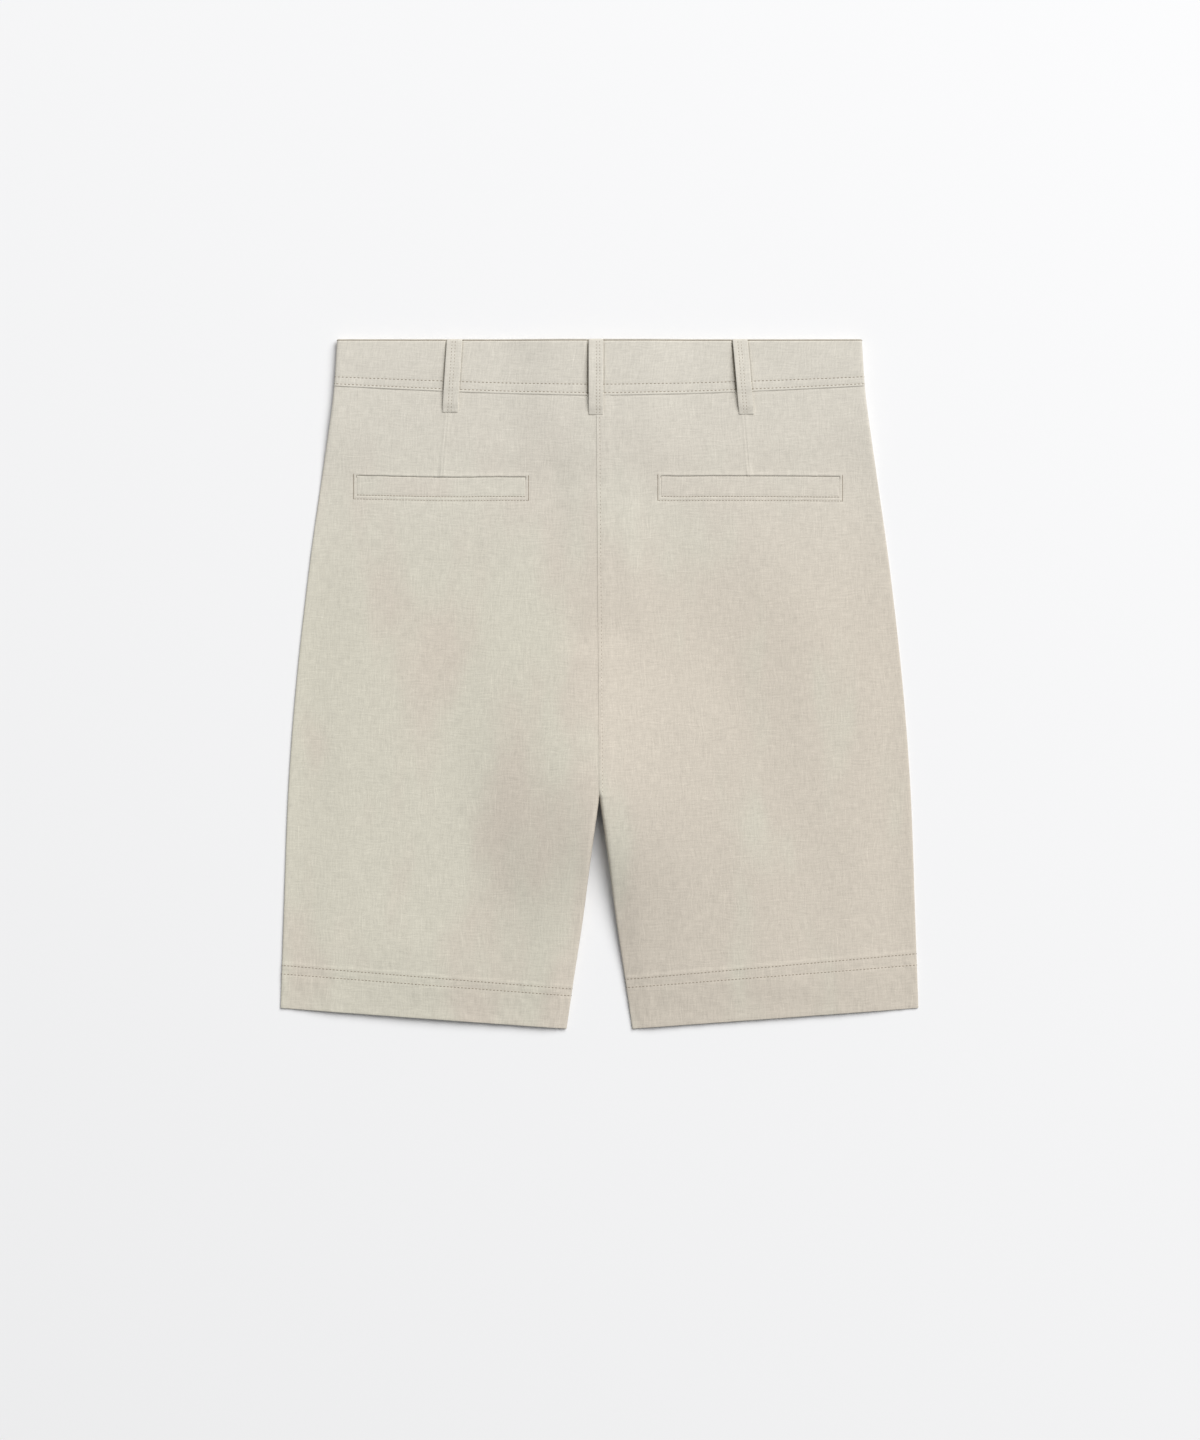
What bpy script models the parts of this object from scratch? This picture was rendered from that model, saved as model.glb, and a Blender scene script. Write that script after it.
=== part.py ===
"""Bermuda shorts lying flat with the back side up, as separate sewn pieces.

Metres, +Z up, the waist towards +Y, the wearer's left at -X. The sizes below are in
millimetres. "down" runs from the waistband's top edge to the hems, "across" from the
middle line to a side, and place() turns the two and a height into a point in metres.

Each leg is a flat tube: a row goes round it, over the back and along the front on the
floor. The back panel is the part of each row from the inner seam over the top to the side
seam, the front panel is the rest, and both seams lie underneath, just inside the folds.
"""

import math
from collections import namedtuple

import bmesh
import bpy
from mathutils import Vector

MM = 0.001

# walls
CLOTH_WALL = 1.2
BAND_WALL = 1.9
LOOP_WALL = 1.3
WELT_WALL = 1.0
WELT_LIFT = 0.4
BAG_WALL = 0.9
BAG_DROP = 0.5
TAPE_WALL = 0.9
TAPE_LIFT = 0.5
GAP = 0.3

# outline, measured down from the waistband's top edge
LENGTH = 525.8
CROTCH_DOWN = 349.0
HEM_DOWN_SIDE = 510.0
BAND_DEPTH_SIDE = 36.0
BAND_DEPTH_CENTRE = 43.5
BAND_CURVE = 1.5
FRONT_DIP = 7.0
FRONT_DIP_FADES = 170.0
CENTRE_BACK_SWAY = 2.7
SIDE_SEAM_UNDER = 9.0
INSEAM_UNDER = 9.0
INSEAM_TURN = 16.0
CROTCH_GAP = 2.6

Outline = namedtuple("Outline", "down across")
SIDE_FOLD = [
    Outline(0, 200.0),
    Outline(43, 203.0),
    Outline(100, 211.0),
    Outline(168, 220.6),
    Outline(260, 231.0),
    Outline(345, 237.4),
    Outline(443, 241.0),
    Outline(526, 243.9),
]
LEG_FOLD = [
    Outline(CROTCH_DOWN, 0.0),
    Outline(397, 6.7),
    Outline(443, 12.7),
    Outline(488, 19.6),
    Outline(526, 25.1),
]

# heights of the outer face above the floor
FOLD_REACH = 4.5
CROTCH_ROLL = 9.0
BACK_HEIGHT = 4.8
FLY_HEIGHT = 6.1
BAND_HEIGHT_SIDE = 5.9
BAND_HEIGHT_CENTRE = 8.9
BAND_FLOOR_SIDE = 1.5
BAND_FLOOR_CENTRE = 2.5
BAND_STEP = 0.5
NARROWEST_SPAN = 1e-9
# a ridge ends where its bell is this low, so the cloth beyond it is truly flat
RIDGE_END = 0.02

# ridges of the back; "under" is the share of a ridge that the front takes part in
Fold = namedtuple("Fold", "across down turn length width height under")
LARGEST_FOLDS = [
    Fold(0, 342, 0, 200, 124, 11.0, 0.9),
    Fold(-128, 512, 6, 150, 150, 2.6, 0.5),
    Fold(-70, 262, 12, 190, 70, 0.7, 0.0),
    Fold(78, 250, -16, 200, 76, 0.8, 0.0),
    Fold(-196, 330, 4, 230, 26, 0.5, 0.0),
    Fold(204, 300, -4, 260, 24, 0.5, 0.0),
    Fold(122, 430, 10, 190, 52, 0.8, 0.0),
    Fold(188, 458, -7, 130, 26, 0.4, 0.0),
    Fold(62, 440, -8, 160, 30, 0.5, 0.0),
]

# where one height fades into the next: it starts at the first place and is done at the second
Fade = namedtuple("Fade", "start end")
BAND_FALLS = Fade(32, 76)
BAND_FLOOR_FALLS = Fade(12, 40)
FLY_SIDES = Fade(36, 18)
FLY_BELOW = Fade(40, 12)
BACK_TO_BAND = Fade(118, 56)
FRONT_TO_BAND = Fade(88, 66)
ROWS_STRAIGHTEN = Fade(60, 150)
LOOP_STEPS_DOWN = Fade(-6, 6)

# fly at the centre front: the left front laps over the right front
FLY_END_DOWN = 205.0
FLY_TURN = 13.0
UNDER_RISE_END = 31.0
LAP_REACH = 10.0
UNDER_EDGE = 4.5
UNDER_RISE = 1.5
UNDER_SLOPE = Fade(22, 14)
BAND_LAP_REACH = 22.0
BAND_UNDER_REACH = 20.0
BAND_UNDER_SLOPE = Fade(48, 28)

Loop = namedtuple("Loop", "name top_across bottom_across bottom_down width arch")
BACK_LOOPS = [
    Loop("belt_loop_back_left", -110.3, -113.9, 55.9, 11.8, 1.2),
    Loop("belt_loop_back_centre", -2.7, -2.7, 57.9, 11.2, 1.3),
    Loop("belt_loop_back_right", 107.0, 112.0, 57.4, 11.4, 1.5),
]
FRONT_LOOPS = [
    Loop("belt_loop_front_left", -104.0, -105.0, 56.0, 11.4, 0.0),
    Loop("belt_loop_front_right", 104.0, 105.0, 56.0, 11.4, 0.0),
]
LOOP_TOP_DOWN = 0.8

Welt = namedtuple("Welt", "side inner outer inner_down outer_down depth")
WELTS = [
    Welt("left", -56.4, -185.2, 105.9, 104.2, 15.2),
    Welt("right", 46.8, 183.0, 104.7, 104.9, 16.2),
]
BAG_MARGIN = 5.0
BAG_BOTTOM_DOWN = 250.0

ZIP_TOP_DOWN = 52.5
ZIP_BOTTOM_DOWN = 203.0
TAPE_WIDTH = 24.0
SLIDER_SIZE = (6.6, 9.0, 1.2)
SLIDER_DOWN = 59.5
PULL_SIZE = (4.6, 17.0, 0.8)
PULL_EYE_RADIUS = 1.0
PULL_EYE_IN = 2.4
ZIP_EDGE_WIDTH = 0.4
METAL_ROUGHNESS = 0.35

BUTTON_RADIUS = 8.5
BUTTON_THICKNESS = 2.0
BUTTON_RIM = 0.5
BUTTON_PLACE = (2.0, 28.0)
BUTTON_HOLE_RADIUS = 0.95
BUTTON_HOLE_SPREAD = 1.9
BUTTON_SIDES = 32
BUTTON_ROUGHNESS = 0.4
HOLE_SIDES = 12
CUTTER_DEPTH = 5.0

# cells of the panels: short ones round the folds, even ones between
Cells = namedtuple("Cells", "first middle last")
EDGE_CELL_SIZE = (SIDE_SEAM_UNDER - GAP / 2) / 3
BACK_CELLS = Cells(6, 9, 6)
FRONT_CELLS = Cells(3, 7, 0)
BAND_FRONT_LEFT_CELLS = Cells(0, 9, 3)
BAND_BACK_CELLS = Cells(3, 15, 3)
BAND_FRONT_RIGHT_CELLS = Cells(3, 10, 0)
BAND_ROWS = 3
LOOP_ROWS = 8
WELT_GRID = (8, 1)
BAG_GRID = (7, 7)
FOLD_STEPS = 8
RUN_STEPS = 40
ROW_DOWNS = [
    BAND_DEPTH_CENTRE + GAP, 54, 64, 73, 84, 112, 140, 172, 205, 218, 236, 260, 286, 312, 330,
    340, 344.5, CROTCH_DOWN, 353, 358, 365, 380, 404, 432, 463, 495, LENGTH,
]

LINEN = (0.655, 0.61, 0.52)
LINEN_SHADE = (0.62, 0.575, 0.485)
POCKETING = (0.68, 0.64, 0.56)
HORN = (0.33, 0.25, 0.17)
ZIP_METAL = (0.62, 0.56, 0.42)


def lerp(a, b, t):
    return a + (b - a) * t


def ease(start, end, value):
    """0 at start and before, 1 at end and beyond, smooth between; start may be above end."""
    t = min(max((value - start) / (end - start), 0.0), 1.0)
    return t * t * (3 - 2 * t)


def faded(fade, value):
    return ease(fade.start, fade.end, value)


def through(rows, down):
    """A smooth curve through the rows of an outline table."""
    last = len(rows) - 1
    i = 0
    while i < last - 1 and down > rows[i + 1].down:
        i += 1
    a, b = rows[i], rows[i + 1]
    before, after = rows[max(i - 1, 0)], rows[min(i + 2, last)]
    span = b.down - a.down
    t = (down - a.down) / span
    slope_a = (b.across - before.across) / (b.down - before.down) * span
    slope_b = (after.across - a.across) / (after.down - a.down) * span
    return (
        (2 * t**3 - 3 * t**2 + 1) * a.across
        + (t**3 - 2 * t**2 + t) * slope_a
        + (3 * t**2 - 2 * t**3) * b.across
        + (t**3 - t**2) * slope_b
    )


def place(x, down, height):
    return Vector((x * MM, (LENGTH / 2 - down) * MM, height * MM))


def leg_fold(down):
    """Half the space between the legs. Above the crotch it runs on below zero, so the fold fades."""
    if down < CROTCH_DOWN:
        return FOLD_REACH * (down - CROTCH_DOWN) / CROTCH_ROLL
    return through(LEG_FOLD, down)


def centre_back(down):
    return -CENTRE_BACK_SWAY * max(1 - down / CROTCH_DOWN, 0.0)


def band_depth(x):
    return lerp(BAND_DEPTH_CENTRE, BAND_DEPTH_SIDE, (abs(x) / SIDE_FOLD[1].across) ** BAND_CURVE)


def front_dip(x, down=0.0):
    """How much lower the front lies than the back; it fades out below the waist."""
    fades = ease(FRONT_DIP_FADES, BAND_DEPTH_CENTRE, down)
    return FRONT_DIP * max(1 - (x / SIDE_FOLD[0].across) ** 2, 0.0) * fades


def band_height(x):
    return lerp(BAND_HEIGHT_CENTRE, BAND_HEIGHT_SIDE, faded(BAND_FALLS, abs(x)))


def band_floor(x):
    return lerp(BAND_FLOOR_CENTRE, BAND_FLOOR_SIDE, faded(BAND_FLOOR_FALLS, abs(x)))


def fold_height(fold, x, down):
    """A soft ridge: a bell across its line and a longer one along it."""
    turn = math.radians(fold.turn)
    dx, dy = x - fold.across, down - fold.down
    along = dx * math.sin(turn) + dy * math.cos(turn)
    beside = dx * math.cos(turn) - dy * math.sin(turn)
    bell = fold.height * math.exp(-((2 * beside / fold.width) ** 2) - (2 * along / fold.length) ** 2)
    return max(bell - RIDGE_END, 0.0)


def over_fly(x, down):
    """1 above the fly, where the back lies on its thicker layers, and 0 away from it."""
    return faded(FLY_SIDES, abs(x)) * faded(FLY_BELOW, down - FLY_END_DOWN)


def back_height(x, down):
    """Height of the back panels' outer face."""
    fly = over_fly(x, down)
    height = lerp(BACK_HEIGHT, FLY_HEIGHT, fly)
    for fold in LARGEST_FOLDS:
        height += fold_height(fold, x, down) * (1 - fly)
    return lerp(height, band_height(x) - BAND_STEP, faded(BACK_TO_BAND, down))


def front_floor(x, down):
    """Height of the front panels' outer face, which faces the floor."""
    height = band_floor(x) * faded(FRONT_TO_BAND, down)
    for fold in LARGEST_FOLDS:
        height += fold_height(fold, x, down) * fold.under * (1 - over_fly(x, down))
    return height


def under_rise(x, down):
    """How far the right front's edge lies above the lap of the left front."""
    fly = ease(FLY_END_DOWN + UNDER_RISE_END, FLY_END_DOWN + FLY_TURN, down)
    return UNDER_RISE * faded(UNDER_SLOPE, x) * fly


def fly_edge(side, down):
    """Where a front panel's edge lies, measured across towards its own side."""
    seam = GAP / 2
    edge = -LAP_REACH if side < 0 else UNDER_EDGE
    return lerp(seam, edge, ease(FLY_END_DOWN + FLY_TURN, FLY_END_DOWN, down))


def roll(distance):
    """Rounding of a fold: 0 at its outermost line, 1 where the cloth lies flat."""
    near = min(max(distance / FOLD_REACH, 0.0), 1.0)
    return math.sqrt(1 - (1 - near) ** 2)


def steps_between(start, fold_in, fold_out, end):
    """Places across a row, close together in the two folds."""
    reaches = [FOLD_REACH * (1 - math.cos(math.pi / 2 * i / FOLD_STEPS)) for i in range(FOLD_STEPS)]
    round_in = [fold_in + reach for reach in reaches]
    round_out = [fold_out - reach for reach in reaches]
    low = max(start, fold_in + FOLD_REACH)
    high = min(end, fold_out - FOLD_REACH)
    run = [lerp(low, high, i / RUN_STEPS) for i in range(RUN_STEPS + 1)]
    inside = [a for a in round_in + run + round_out if start < a < end]
    return [start] + sorted(inside) + [end]


def row_line(side, down_inner, start, upper):
    """Points of one row from the middle to the side fold, over the top or along the floor."""
    fraction = (down_inner - BAND_DEPTH_CENTRE) / (LENGTH - BAND_DEPTH_CENTRE)
    down_outer = lerp(BAND_DEPTH_SIDE, HEM_DOWN_SIDE, fraction)
    fold_in = leg_fold(down_inner)
    fold_out = through(SIDE_FOLD, down_outer)
    start = max(start, fold_in)
    points = []
    for across in steps_between(start, fold_in, fold_out, fold_out):
        part = max(across - max(fold_in, 0.0), 0.0) / (fold_out - max(fold_in, 0.0))
        down = lerp(down_inner, down_outer, part ** lerp(BAND_CURVE, 1.0, faded(ROWS_STRAIGHTEN, down_inner)))
        x = side * across
        if not upper:
            down += front_dip(x, down)
        top = back_height(x, down)
        floor = front_floor(x, down)
        if side > 0:
            floor += under_rise(x, down)
        middle = (top + front_floor(x, down)) / 2
        rounding = roll(across - fold_in) * roll(fold_out - across)
        height = lerp(middle, top if upper else floor, rounding)
        points.append(Vector((x, down, height)))
    return points


def lengths_along(points):
    total = [0.0]
    for a, b in zip(points, points[1:]):
        total.append(total[-1] + (b - a).length)
    return total


def point_at(points, total, distance):
    i = 1
    while i < len(points) - 1 and total[i] < distance:
        i += 1
    span = max(total[i] - total[i - 1], NARROWEST_SPAN)
    return points[i - 1].lerp(points[i], min(max((distance - total[i - 1]) / span, 0.0), 1.0))


def cut_line(points, start, end):
    """The stretch of a line of points between two distances along it."""
    total = lengths_along(points)
    kept = [p for p, d in zip(points, total) if start < d < end]
    return [point_at(points, total, start)] + kept + [point_at(points, total, end)]


def resample(points, distances):
    total = lengths_along(points)
    return [point_at(points, total, d) for d in distances]


def in_cells(line, cells):
    """The line's points at the ends of its cells: short cells at both its ends and even ones between."""
    length = lengths_along(line)[-1]
    first = cells.first * EDGE_CELL_SIZE
    last = length - cells.last * EDGE_CELL_SIZE
    ends = [i * EDGE_CELL_SIZE for i in range(cells.first)]
    ends += [lerp(first, last, i / cells.middle) for i in range(cells.middle + 1)]
    ends += [last + (i + 1) * EDGE_CELL_SIZE for i in range(cells.last)]
    return resample(line, ends)


def inseam(down_inner):
    """How far the inseam lies under the inner fold, and its gap, wider where it turns over the fold."""
    turned = ease(CROTCH_DOWN, CROTCH_DOWN + INSEAM_TURN, down_inner)
    return INSEAM_UNDER * turned, lerp(CROTCH_GAP, GAP, turned)


def back_row(side, down_inner):
    upper = row_line(side, down_inner, GAP / 2 + side * centre_back(down_inner), True)
    lower = row_line(side, down_inner, GAP / 2, False)[::-1]
    side_strip = cut_line(lower, 0.0, SIDE_SEAM_UNDER - GAP / 2)
    if down_inner >= CROTCH_DOWN:
        reach, gap = inseam(down_inner)
        seam = lengths_along(lower)[-1] - reach + gap / 2
        around = lower + upper[1:]
        upper = cut_line(around, seam, lengths_along(around)[-1])
    line = upper + side_strip[1:]
    return in_cells(line, BACK_CELLS)


def front_row(side, down_inner):
    lower = row_line(side, down_inner, fly_edge(side, down_inner), False)
    length = lengths_along(lower)[-1]
    start = 0.0
    if down_inner >= CROTCH_DOWN:
        reach, gap = inseam(down_inner)
        start = reach + gap / 2
    line = cut_line(lower, start, length - SIDE_SEAM_UNDER - GAP / 2)
    return in_cells(line, FRONT_CELLS)


def collection(name):
    made = bpy.data.collections.new(name)
    bpy.context.scene.collection.children.link(made)
    return made


def finish(obj, colour, roughness, metallic=0.0):
    material = bpy.data.materials.new(obj.name + "_finish")
    material.use_nodes = True
    shader = material.node_tree.nodes["Principled BSDF"]
    shader.inputs["Base Color"].default_value = (*colour, 1.0)
    shader.inputs["Roughness"].default_value = roughness
    shader.inputs["Metallic"].default_value = metallic
    obj.data.materials.clear()
    obj.data.materials.append(material)


def add_object(name, bm, group):
    mesh = bpy.data.meshes.new(name)
    bm.to_mesh(mesh)
    bm.free()
    obj = bpy.data.objects.new(name, mesh)
    group.objects.link(obj)
    return obj


def cloth(name, rows, wall, flip, colour, roughness=0.9):
    """A wall of cloth. Its outer face is a grid through rows of points in millimetres."""
    bm = bmesh.new()
    bmesh.ops.create_grid(bm, x_segments=len(rows[0]) - 1, y_segments=len(rows) - 1, size=1)
    bm.verts.ensure_lookup_table()
    for vert, point in zip(bm.verts, [p for row in rows for p in row]):
        vert.co = place(*point)
    if flip:
        bmesh.ops.reverse_faces(bm, faces=bm.faces)
    obj = add_object(name, bm, PARTS)
    obj.data.shade_smooth()
    wall_modifier = obj.modifiers.new("wall", "SOLIDIFY")
    wall_modifier.thickness = wall * MM
    wall_modifier.offset = -1
    finish(obj, colour, roughness)
    return obj


def build_panels():
    for side, word in ((-1, "left"), (1, "right")):
        back = [back_row(side, down) for down in ROW_DOWNS]
        front = [front_row(side, down) for down in ROW_DOWNS]
        cloth("back_" + word, back, CLOTH_WALL, side > 0, LINEN)
        cloth("front_" + word, front, CLOTH_WALL, side < 0, LINEN_SHADE)


def band_ring(fraction):
    """One line round the waistband, from the lap at the centre front round the back to the underlap."""

    def line(across_from, across_to, upper, under):
        points = []
        low, high = sorted((across_from, across_to))
        for x in steps_between(low, -fold_out, fold_out, high):
            down = band_depth(x) * fraction + (0.0 if upper else front_dip(x))
            rounding = roll(fold_out - abs(x))
            middle = (band_height(x) + band_floor(x)) / 2
            height = band_height(x) if upper else band_floor(x)
            if under:
                height += (BAND_WALL + GAP) * faded(BAND_UNDER_SLOPE, x)
            points.append(Vector((x, down, lerp(middle, height, rounding))))
        return points if across_to > across_from else points[::-1]

    fold_out = through(SIDE_FOLD, BAND_DEPTH_SIDE * fraction)
    front_left = line(BAND_LAP_REACH, -fold_out, False, False)
    back = line(-fold_out, fold_out, True, False)
    front_right = line(fold_out, -BAND_UNDER_REACH, False, True)
    return front_left, back, front_right


def build_waistband():
    rows = []
    for i in range(BAND_ROWS + 1):
        front_left, back, front_right = band_ring(i / BAND_ROWS)
        row = in_cells(front_left, BAND_FRONT_LEFT_CELLS)
        row += in_cells(back, BAND_BACK_CELLS)[1:]
        row += in_cells(front_right, BAND_FRONT_RIGHT_CELLS)[1:]
        rows.append(row)
    cloth("waistband", rows, BAND_WALL, True, LINEN)


def surface_under_loop(x, down):
    """Outer face of the waistband and, below its seam, of the back panel."""
    return lerp(band_height(x), back_height(x, down), faded(LOOP_STEPS_DOWN, down - band_depth(x)))


def build_belt_loops():
    for loop in BACK_LOOPS + FRONT_LOOPS:
        behind = loop in BACK_LOOPS
        rows = []
        for i in range(LOOP_ROWS + 1):
            along = i / LOOP_ROWS
            middle = lerp(loop.top_across, loop.bottom_across, along)
            down = lerp(LOOP_TOP_DOWN, loop.bottom_down, along)
            height = 0.0
            if behind:
                arch = loop.arch * math.sin(math.pi * along)
                height = surface_under_loop(middle, down) + GAP + LOOP_WALL + arch
            else:
                down += front_dip(middle)
            rows.append([Vector((middle + part * loop.width, down, height)) for part in (-0.5, 0.0, 0.5)])
        cloth(loop.name, rows, LOOP_WALL, behind, LINEN)


def patch(inner, outer, top_inner, top_outer, depth, cells, height):
    """A grid of points between two ends across and over a depth downwards, at height(x, down)."""
    across_cells, down_cells = cells
    rows = []
    for j in range(down_cells + 1):
        row = []
        for i in range(across_cells + 1):
            x = lerp(inner, outer, i / across_cells)
            down = lerp(top_inner, top_outer, i / across_cells) + depth * j / down_cells
            row.append(Vector((x, down, height(x, down))))
        rows.append(row)
    return rows


def build_pockets():
    for welt in WELTS:
        right = welt.outer > 0
        margin = BAG_MARGIN if right else -BAG_MARGIN
        on_top = patch(
            welt.inner, welt.outer, welt.inner_down, welt.outer_down, welt.depth, WELT_GRID,
            lambda x, down: back_height(x, down) + WELT_LIFT + WELT_WALL,
        )
        cloth("pocket_welt_" + welt.side, on_top, WELT_WALL, right, LINEN)
        bag_top = min(welt.inner_down, welt.outer_down) - BAG_MARGIN
        inside = patch(
            welt.inner - margin, welt.outer + margin, bag_top, bag_top, BAG_BOTTOM_DOWN - bag_top, BAG_GRID,
            lambda x, down: back_height(x, down) - CLOTH_WALL - BAG_DROP,
        )
        cloth("pocket_bag_" + welt.side, inside, BAG_WALL, right, POCKETING)


def tape_floor(down):
    """The zip's tape lies on the right front's edge, above the lap."""
    return front_floor(0, down) + UNDER_RISE + CLOTH_WALL + TAPE_LIFT


def box(name, size, centre, group):
    bm = bmesh.new()
    bmesh.ops.create_cube(bm, size=1)
    bmesh.ops.scale(bm, vec=[s * MM for s in size], verts=bm.verts)
    bmesh.ops.translate(bm, vec=centre, verts=bm.verts)
    return add_object(name, bm, group)


def cylinder(name, radius, thickness, centre, segments, group):
    bm = bmesh.new()
    bmesh.ops.create_cone(
        bm, cap_ends=True, segments=segments, radius1=radius * MM, radius2=radius * MM, depth=thickness * MM
    )
    bmesh.ops.translate(bm, vec=centre, verts=bm.verts)
    return add_object(name, bm, group)


def round_edges(obj, width, segments=2):
    bevel = obj.modifiers.new("edges", "BEVEL")
    bevel.width = width * MM
    bevel.segments = segments
    bevel.limit_method = "ANGLE"
    bevel.angle_limit = math.radians(50)


def cut_out(obj, cutter):
    cutter.hide_render = True
    cutter.display_type = "WIRE"
    boolean = obj.modifiers.new(cutter.name, "BOOLEAN")
    boolean.operation = "DIFFERENCE"
    boolean.solver = "EXACT"
    boolean.object = cutter


def build_zip():
    between = [down for down in ROW_DOWNS if ZIP_TOP_DOWN < down < ZIP_BOTTOM_DOWN]
    downs = [ZIP_TOP_DOWN] + between + [ZIP_BOTTOM_DOWN]
    ends = [part * TAPE_WIDTH for part in (-0.5, 0.0, 0.5)]
    tape = [[Vector((x, down, tape_floor(down))) for x in ends] for down in downs]
    cloth("zip_tape", tape, TAPE_WALL, False, POCKETING)
    low = front_floor(0, SLIDER_DOWN) + CLOTH_WALL + GAP
    slider_middle = place(0, SLIDER_DOWN, low + SLIDER_SIZE[2] / 2)
    slider = box("zip_slider", SLIDER_SIZE, slider_middle, PARTS)
    round_edges(slider, ZIP_EDGE_WIDTH)
    finish(slider, ZIP_METAL, METAL_ROUGHNESS, 1.0)
    pull_top = SLIDER_DOWN + SLIDER_SIZE[1] / 2 + GAP
    pull_down = pull_top + PULL_SIZE[1] / 2
    drop = front_floor(0, pull_top) - front_floor(0, pull_top + PULL_SIZE[1])
    pull_height = front_floor(0, pull_down) + CLOTH_WALL + GAP + PULL_SIZE[2] / 2
    pull = box("zip_pull", PULL_SIZE, (0, 0, 0), PARTS)
    eye_middle = (0, (PULL_SIZE[1] / 2 - PULL_EYE_IN) * MM, 0)
    eye = cylinder("pull_eye", PULL_EYE_RADIUS, CUTTER_DEPTH, eye_middle, HOLE_SIDES, CUTTERS)
    for obj in (pull, eye):
        obj.rotation_euler.x = math.atan2(drop, PULL_SIZE[1])
        obj.location = place(0, pull_down, pull_height)
    cut_out(pull, eye)
    finish(pull, ZIP_METAL, METAL_ROUGHNESS, 1.0)


def build_button():
    middle = place(*BUTTON_PLACE, BUTTON_THICKNESS / 2)
    button = cylinder("waist_button", BUTTON_RADIUS, BUTTON_THICKNESS, middle, BUTTON_SIDES, PARTS)
    round_edges(button, BUTTON_RIM)
    for i in range(4):
        turn = math.radians(45 + 90 * i)
        across = BUTTON_HOLE_SPREAD * math.cos(turn) * MM
        along = BUTTON_HOLE_SPREAD * math.sin(turn) * MM
        hole_middle = middle + Vector((across, along, 0))
        name = f"button_hole_{i + 1}"
        hole = cylinder(name, BUTTON_HOLE_RADIUS, CUTTER_DEPTH, hole_middle, HOLE_SIDES, CUTTERS)
        cut_out(button, hole)
    finish(button, HORN, BUTTON_ROUGHNESS)


for old in list(bpy.data.objects):
    bpy.data.objects.remove(old, do_unlink=True)
PARTS = collection("bermuda_shorts")
CUTTERS = collection("cutters")
build_panels()
build_waistband()
build_belt_loops()
build_pockets()
build_zip()
build_button()
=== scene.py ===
import math

import bmesh
import bpy
from mathutils import Matrix, Vector, noise


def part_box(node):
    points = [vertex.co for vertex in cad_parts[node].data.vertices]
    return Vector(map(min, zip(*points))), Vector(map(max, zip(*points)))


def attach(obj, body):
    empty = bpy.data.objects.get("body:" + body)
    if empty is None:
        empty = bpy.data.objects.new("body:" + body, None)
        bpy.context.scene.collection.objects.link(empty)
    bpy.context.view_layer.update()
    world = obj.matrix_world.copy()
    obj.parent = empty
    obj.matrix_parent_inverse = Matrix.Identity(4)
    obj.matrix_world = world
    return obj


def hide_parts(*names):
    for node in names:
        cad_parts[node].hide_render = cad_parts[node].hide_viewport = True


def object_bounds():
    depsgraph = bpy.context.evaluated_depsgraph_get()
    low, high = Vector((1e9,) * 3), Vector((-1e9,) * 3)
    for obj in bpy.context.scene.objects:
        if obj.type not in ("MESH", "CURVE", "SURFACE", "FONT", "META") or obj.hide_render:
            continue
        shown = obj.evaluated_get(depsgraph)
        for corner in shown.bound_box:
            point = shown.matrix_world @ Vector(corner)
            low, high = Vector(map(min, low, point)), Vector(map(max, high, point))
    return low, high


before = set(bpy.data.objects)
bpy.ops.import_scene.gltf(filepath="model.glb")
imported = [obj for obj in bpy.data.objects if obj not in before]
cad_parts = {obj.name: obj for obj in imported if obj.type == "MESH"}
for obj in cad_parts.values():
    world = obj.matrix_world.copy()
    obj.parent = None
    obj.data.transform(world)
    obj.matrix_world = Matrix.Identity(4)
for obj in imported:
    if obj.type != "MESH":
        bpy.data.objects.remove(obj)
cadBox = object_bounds()

# Linen bermuda shorts, laid flat with the back side up. Sizes are in millimetres: x is
# across from the middle line, down is measured from the waist edge towards the hems.
mm = 0.001
toMetres = Matrix.Scale(mm, 4)
topEdge = cadBox[1].y
words = {-1: "Left", 1: "Right"}  # the wearer's sides, by the sign of x

shorts = {
    "length": (cadBox[1].y - cadBox[0].y) / mm,
    "hemDownSide": 510.0,
    "crotchDown": 349.0,
    "crotchDownSide": 337.0,
    "crotchRoll": 9.0,
    "crotchGap": 2.2,
    "inseamTurn": 16.0,
    "seamUnder": 11.4,  # how far round a fold the side seam and the inseam lie
    "seamGap": 0.03,
    "sway": 2.7,
    "foldReach": 4.5,
    "foldShape": 0.6,  # 1 would be a round fold, less is a flatter and tighter one
    "cloth": 0.5,
    "frontGap": 0.12,
    "backHeight": 4.8,
    "flyHeight": 6.1,
    "frontDip": 7.0,
    "frontDipFades": 170.0,
    # how much the layers thin out towards an edge, and how far in from it
    "edgeThins": (2.9, 33.0),
    "inseamThins": (2.5, 12.0),
    "rightHemThins": (2.3, 24.0),
    "leftHemThins": (2.2, 28.0),
    "leftHemLift": 0.9,
    "leftFrontLift": 0.3,
    # distances down between which something comes in
    "legFades": (380, 430),
    "bandFades": (118, 56),
    "bandFloorFades": (88, 66),
    "softFades": (62, 100),
}
band = {
    "depthSide": 36.0,
    "depthCentre": 43.5,
    "curve": 1.5,
    "curveFades": (50, 96),
    "heightSide": 5.9,
    "heightCentre": 8.9,
    "heightFades": (32, 76),
    "floorSide": 1.5,
    "floorCentre": 2.5,
    "floorFades": (12, 40),
    "step": 0.3,
    "thick": 1.5,
    "lap": 22.0,
    "underlap": 20.0,
    "underlapRise": 2.2,
    "underlapFades": (48, 28),
    "edgeStitch": 2.4,
    "topStitch": 8.8,
    "rim": 1.3,
}
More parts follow.
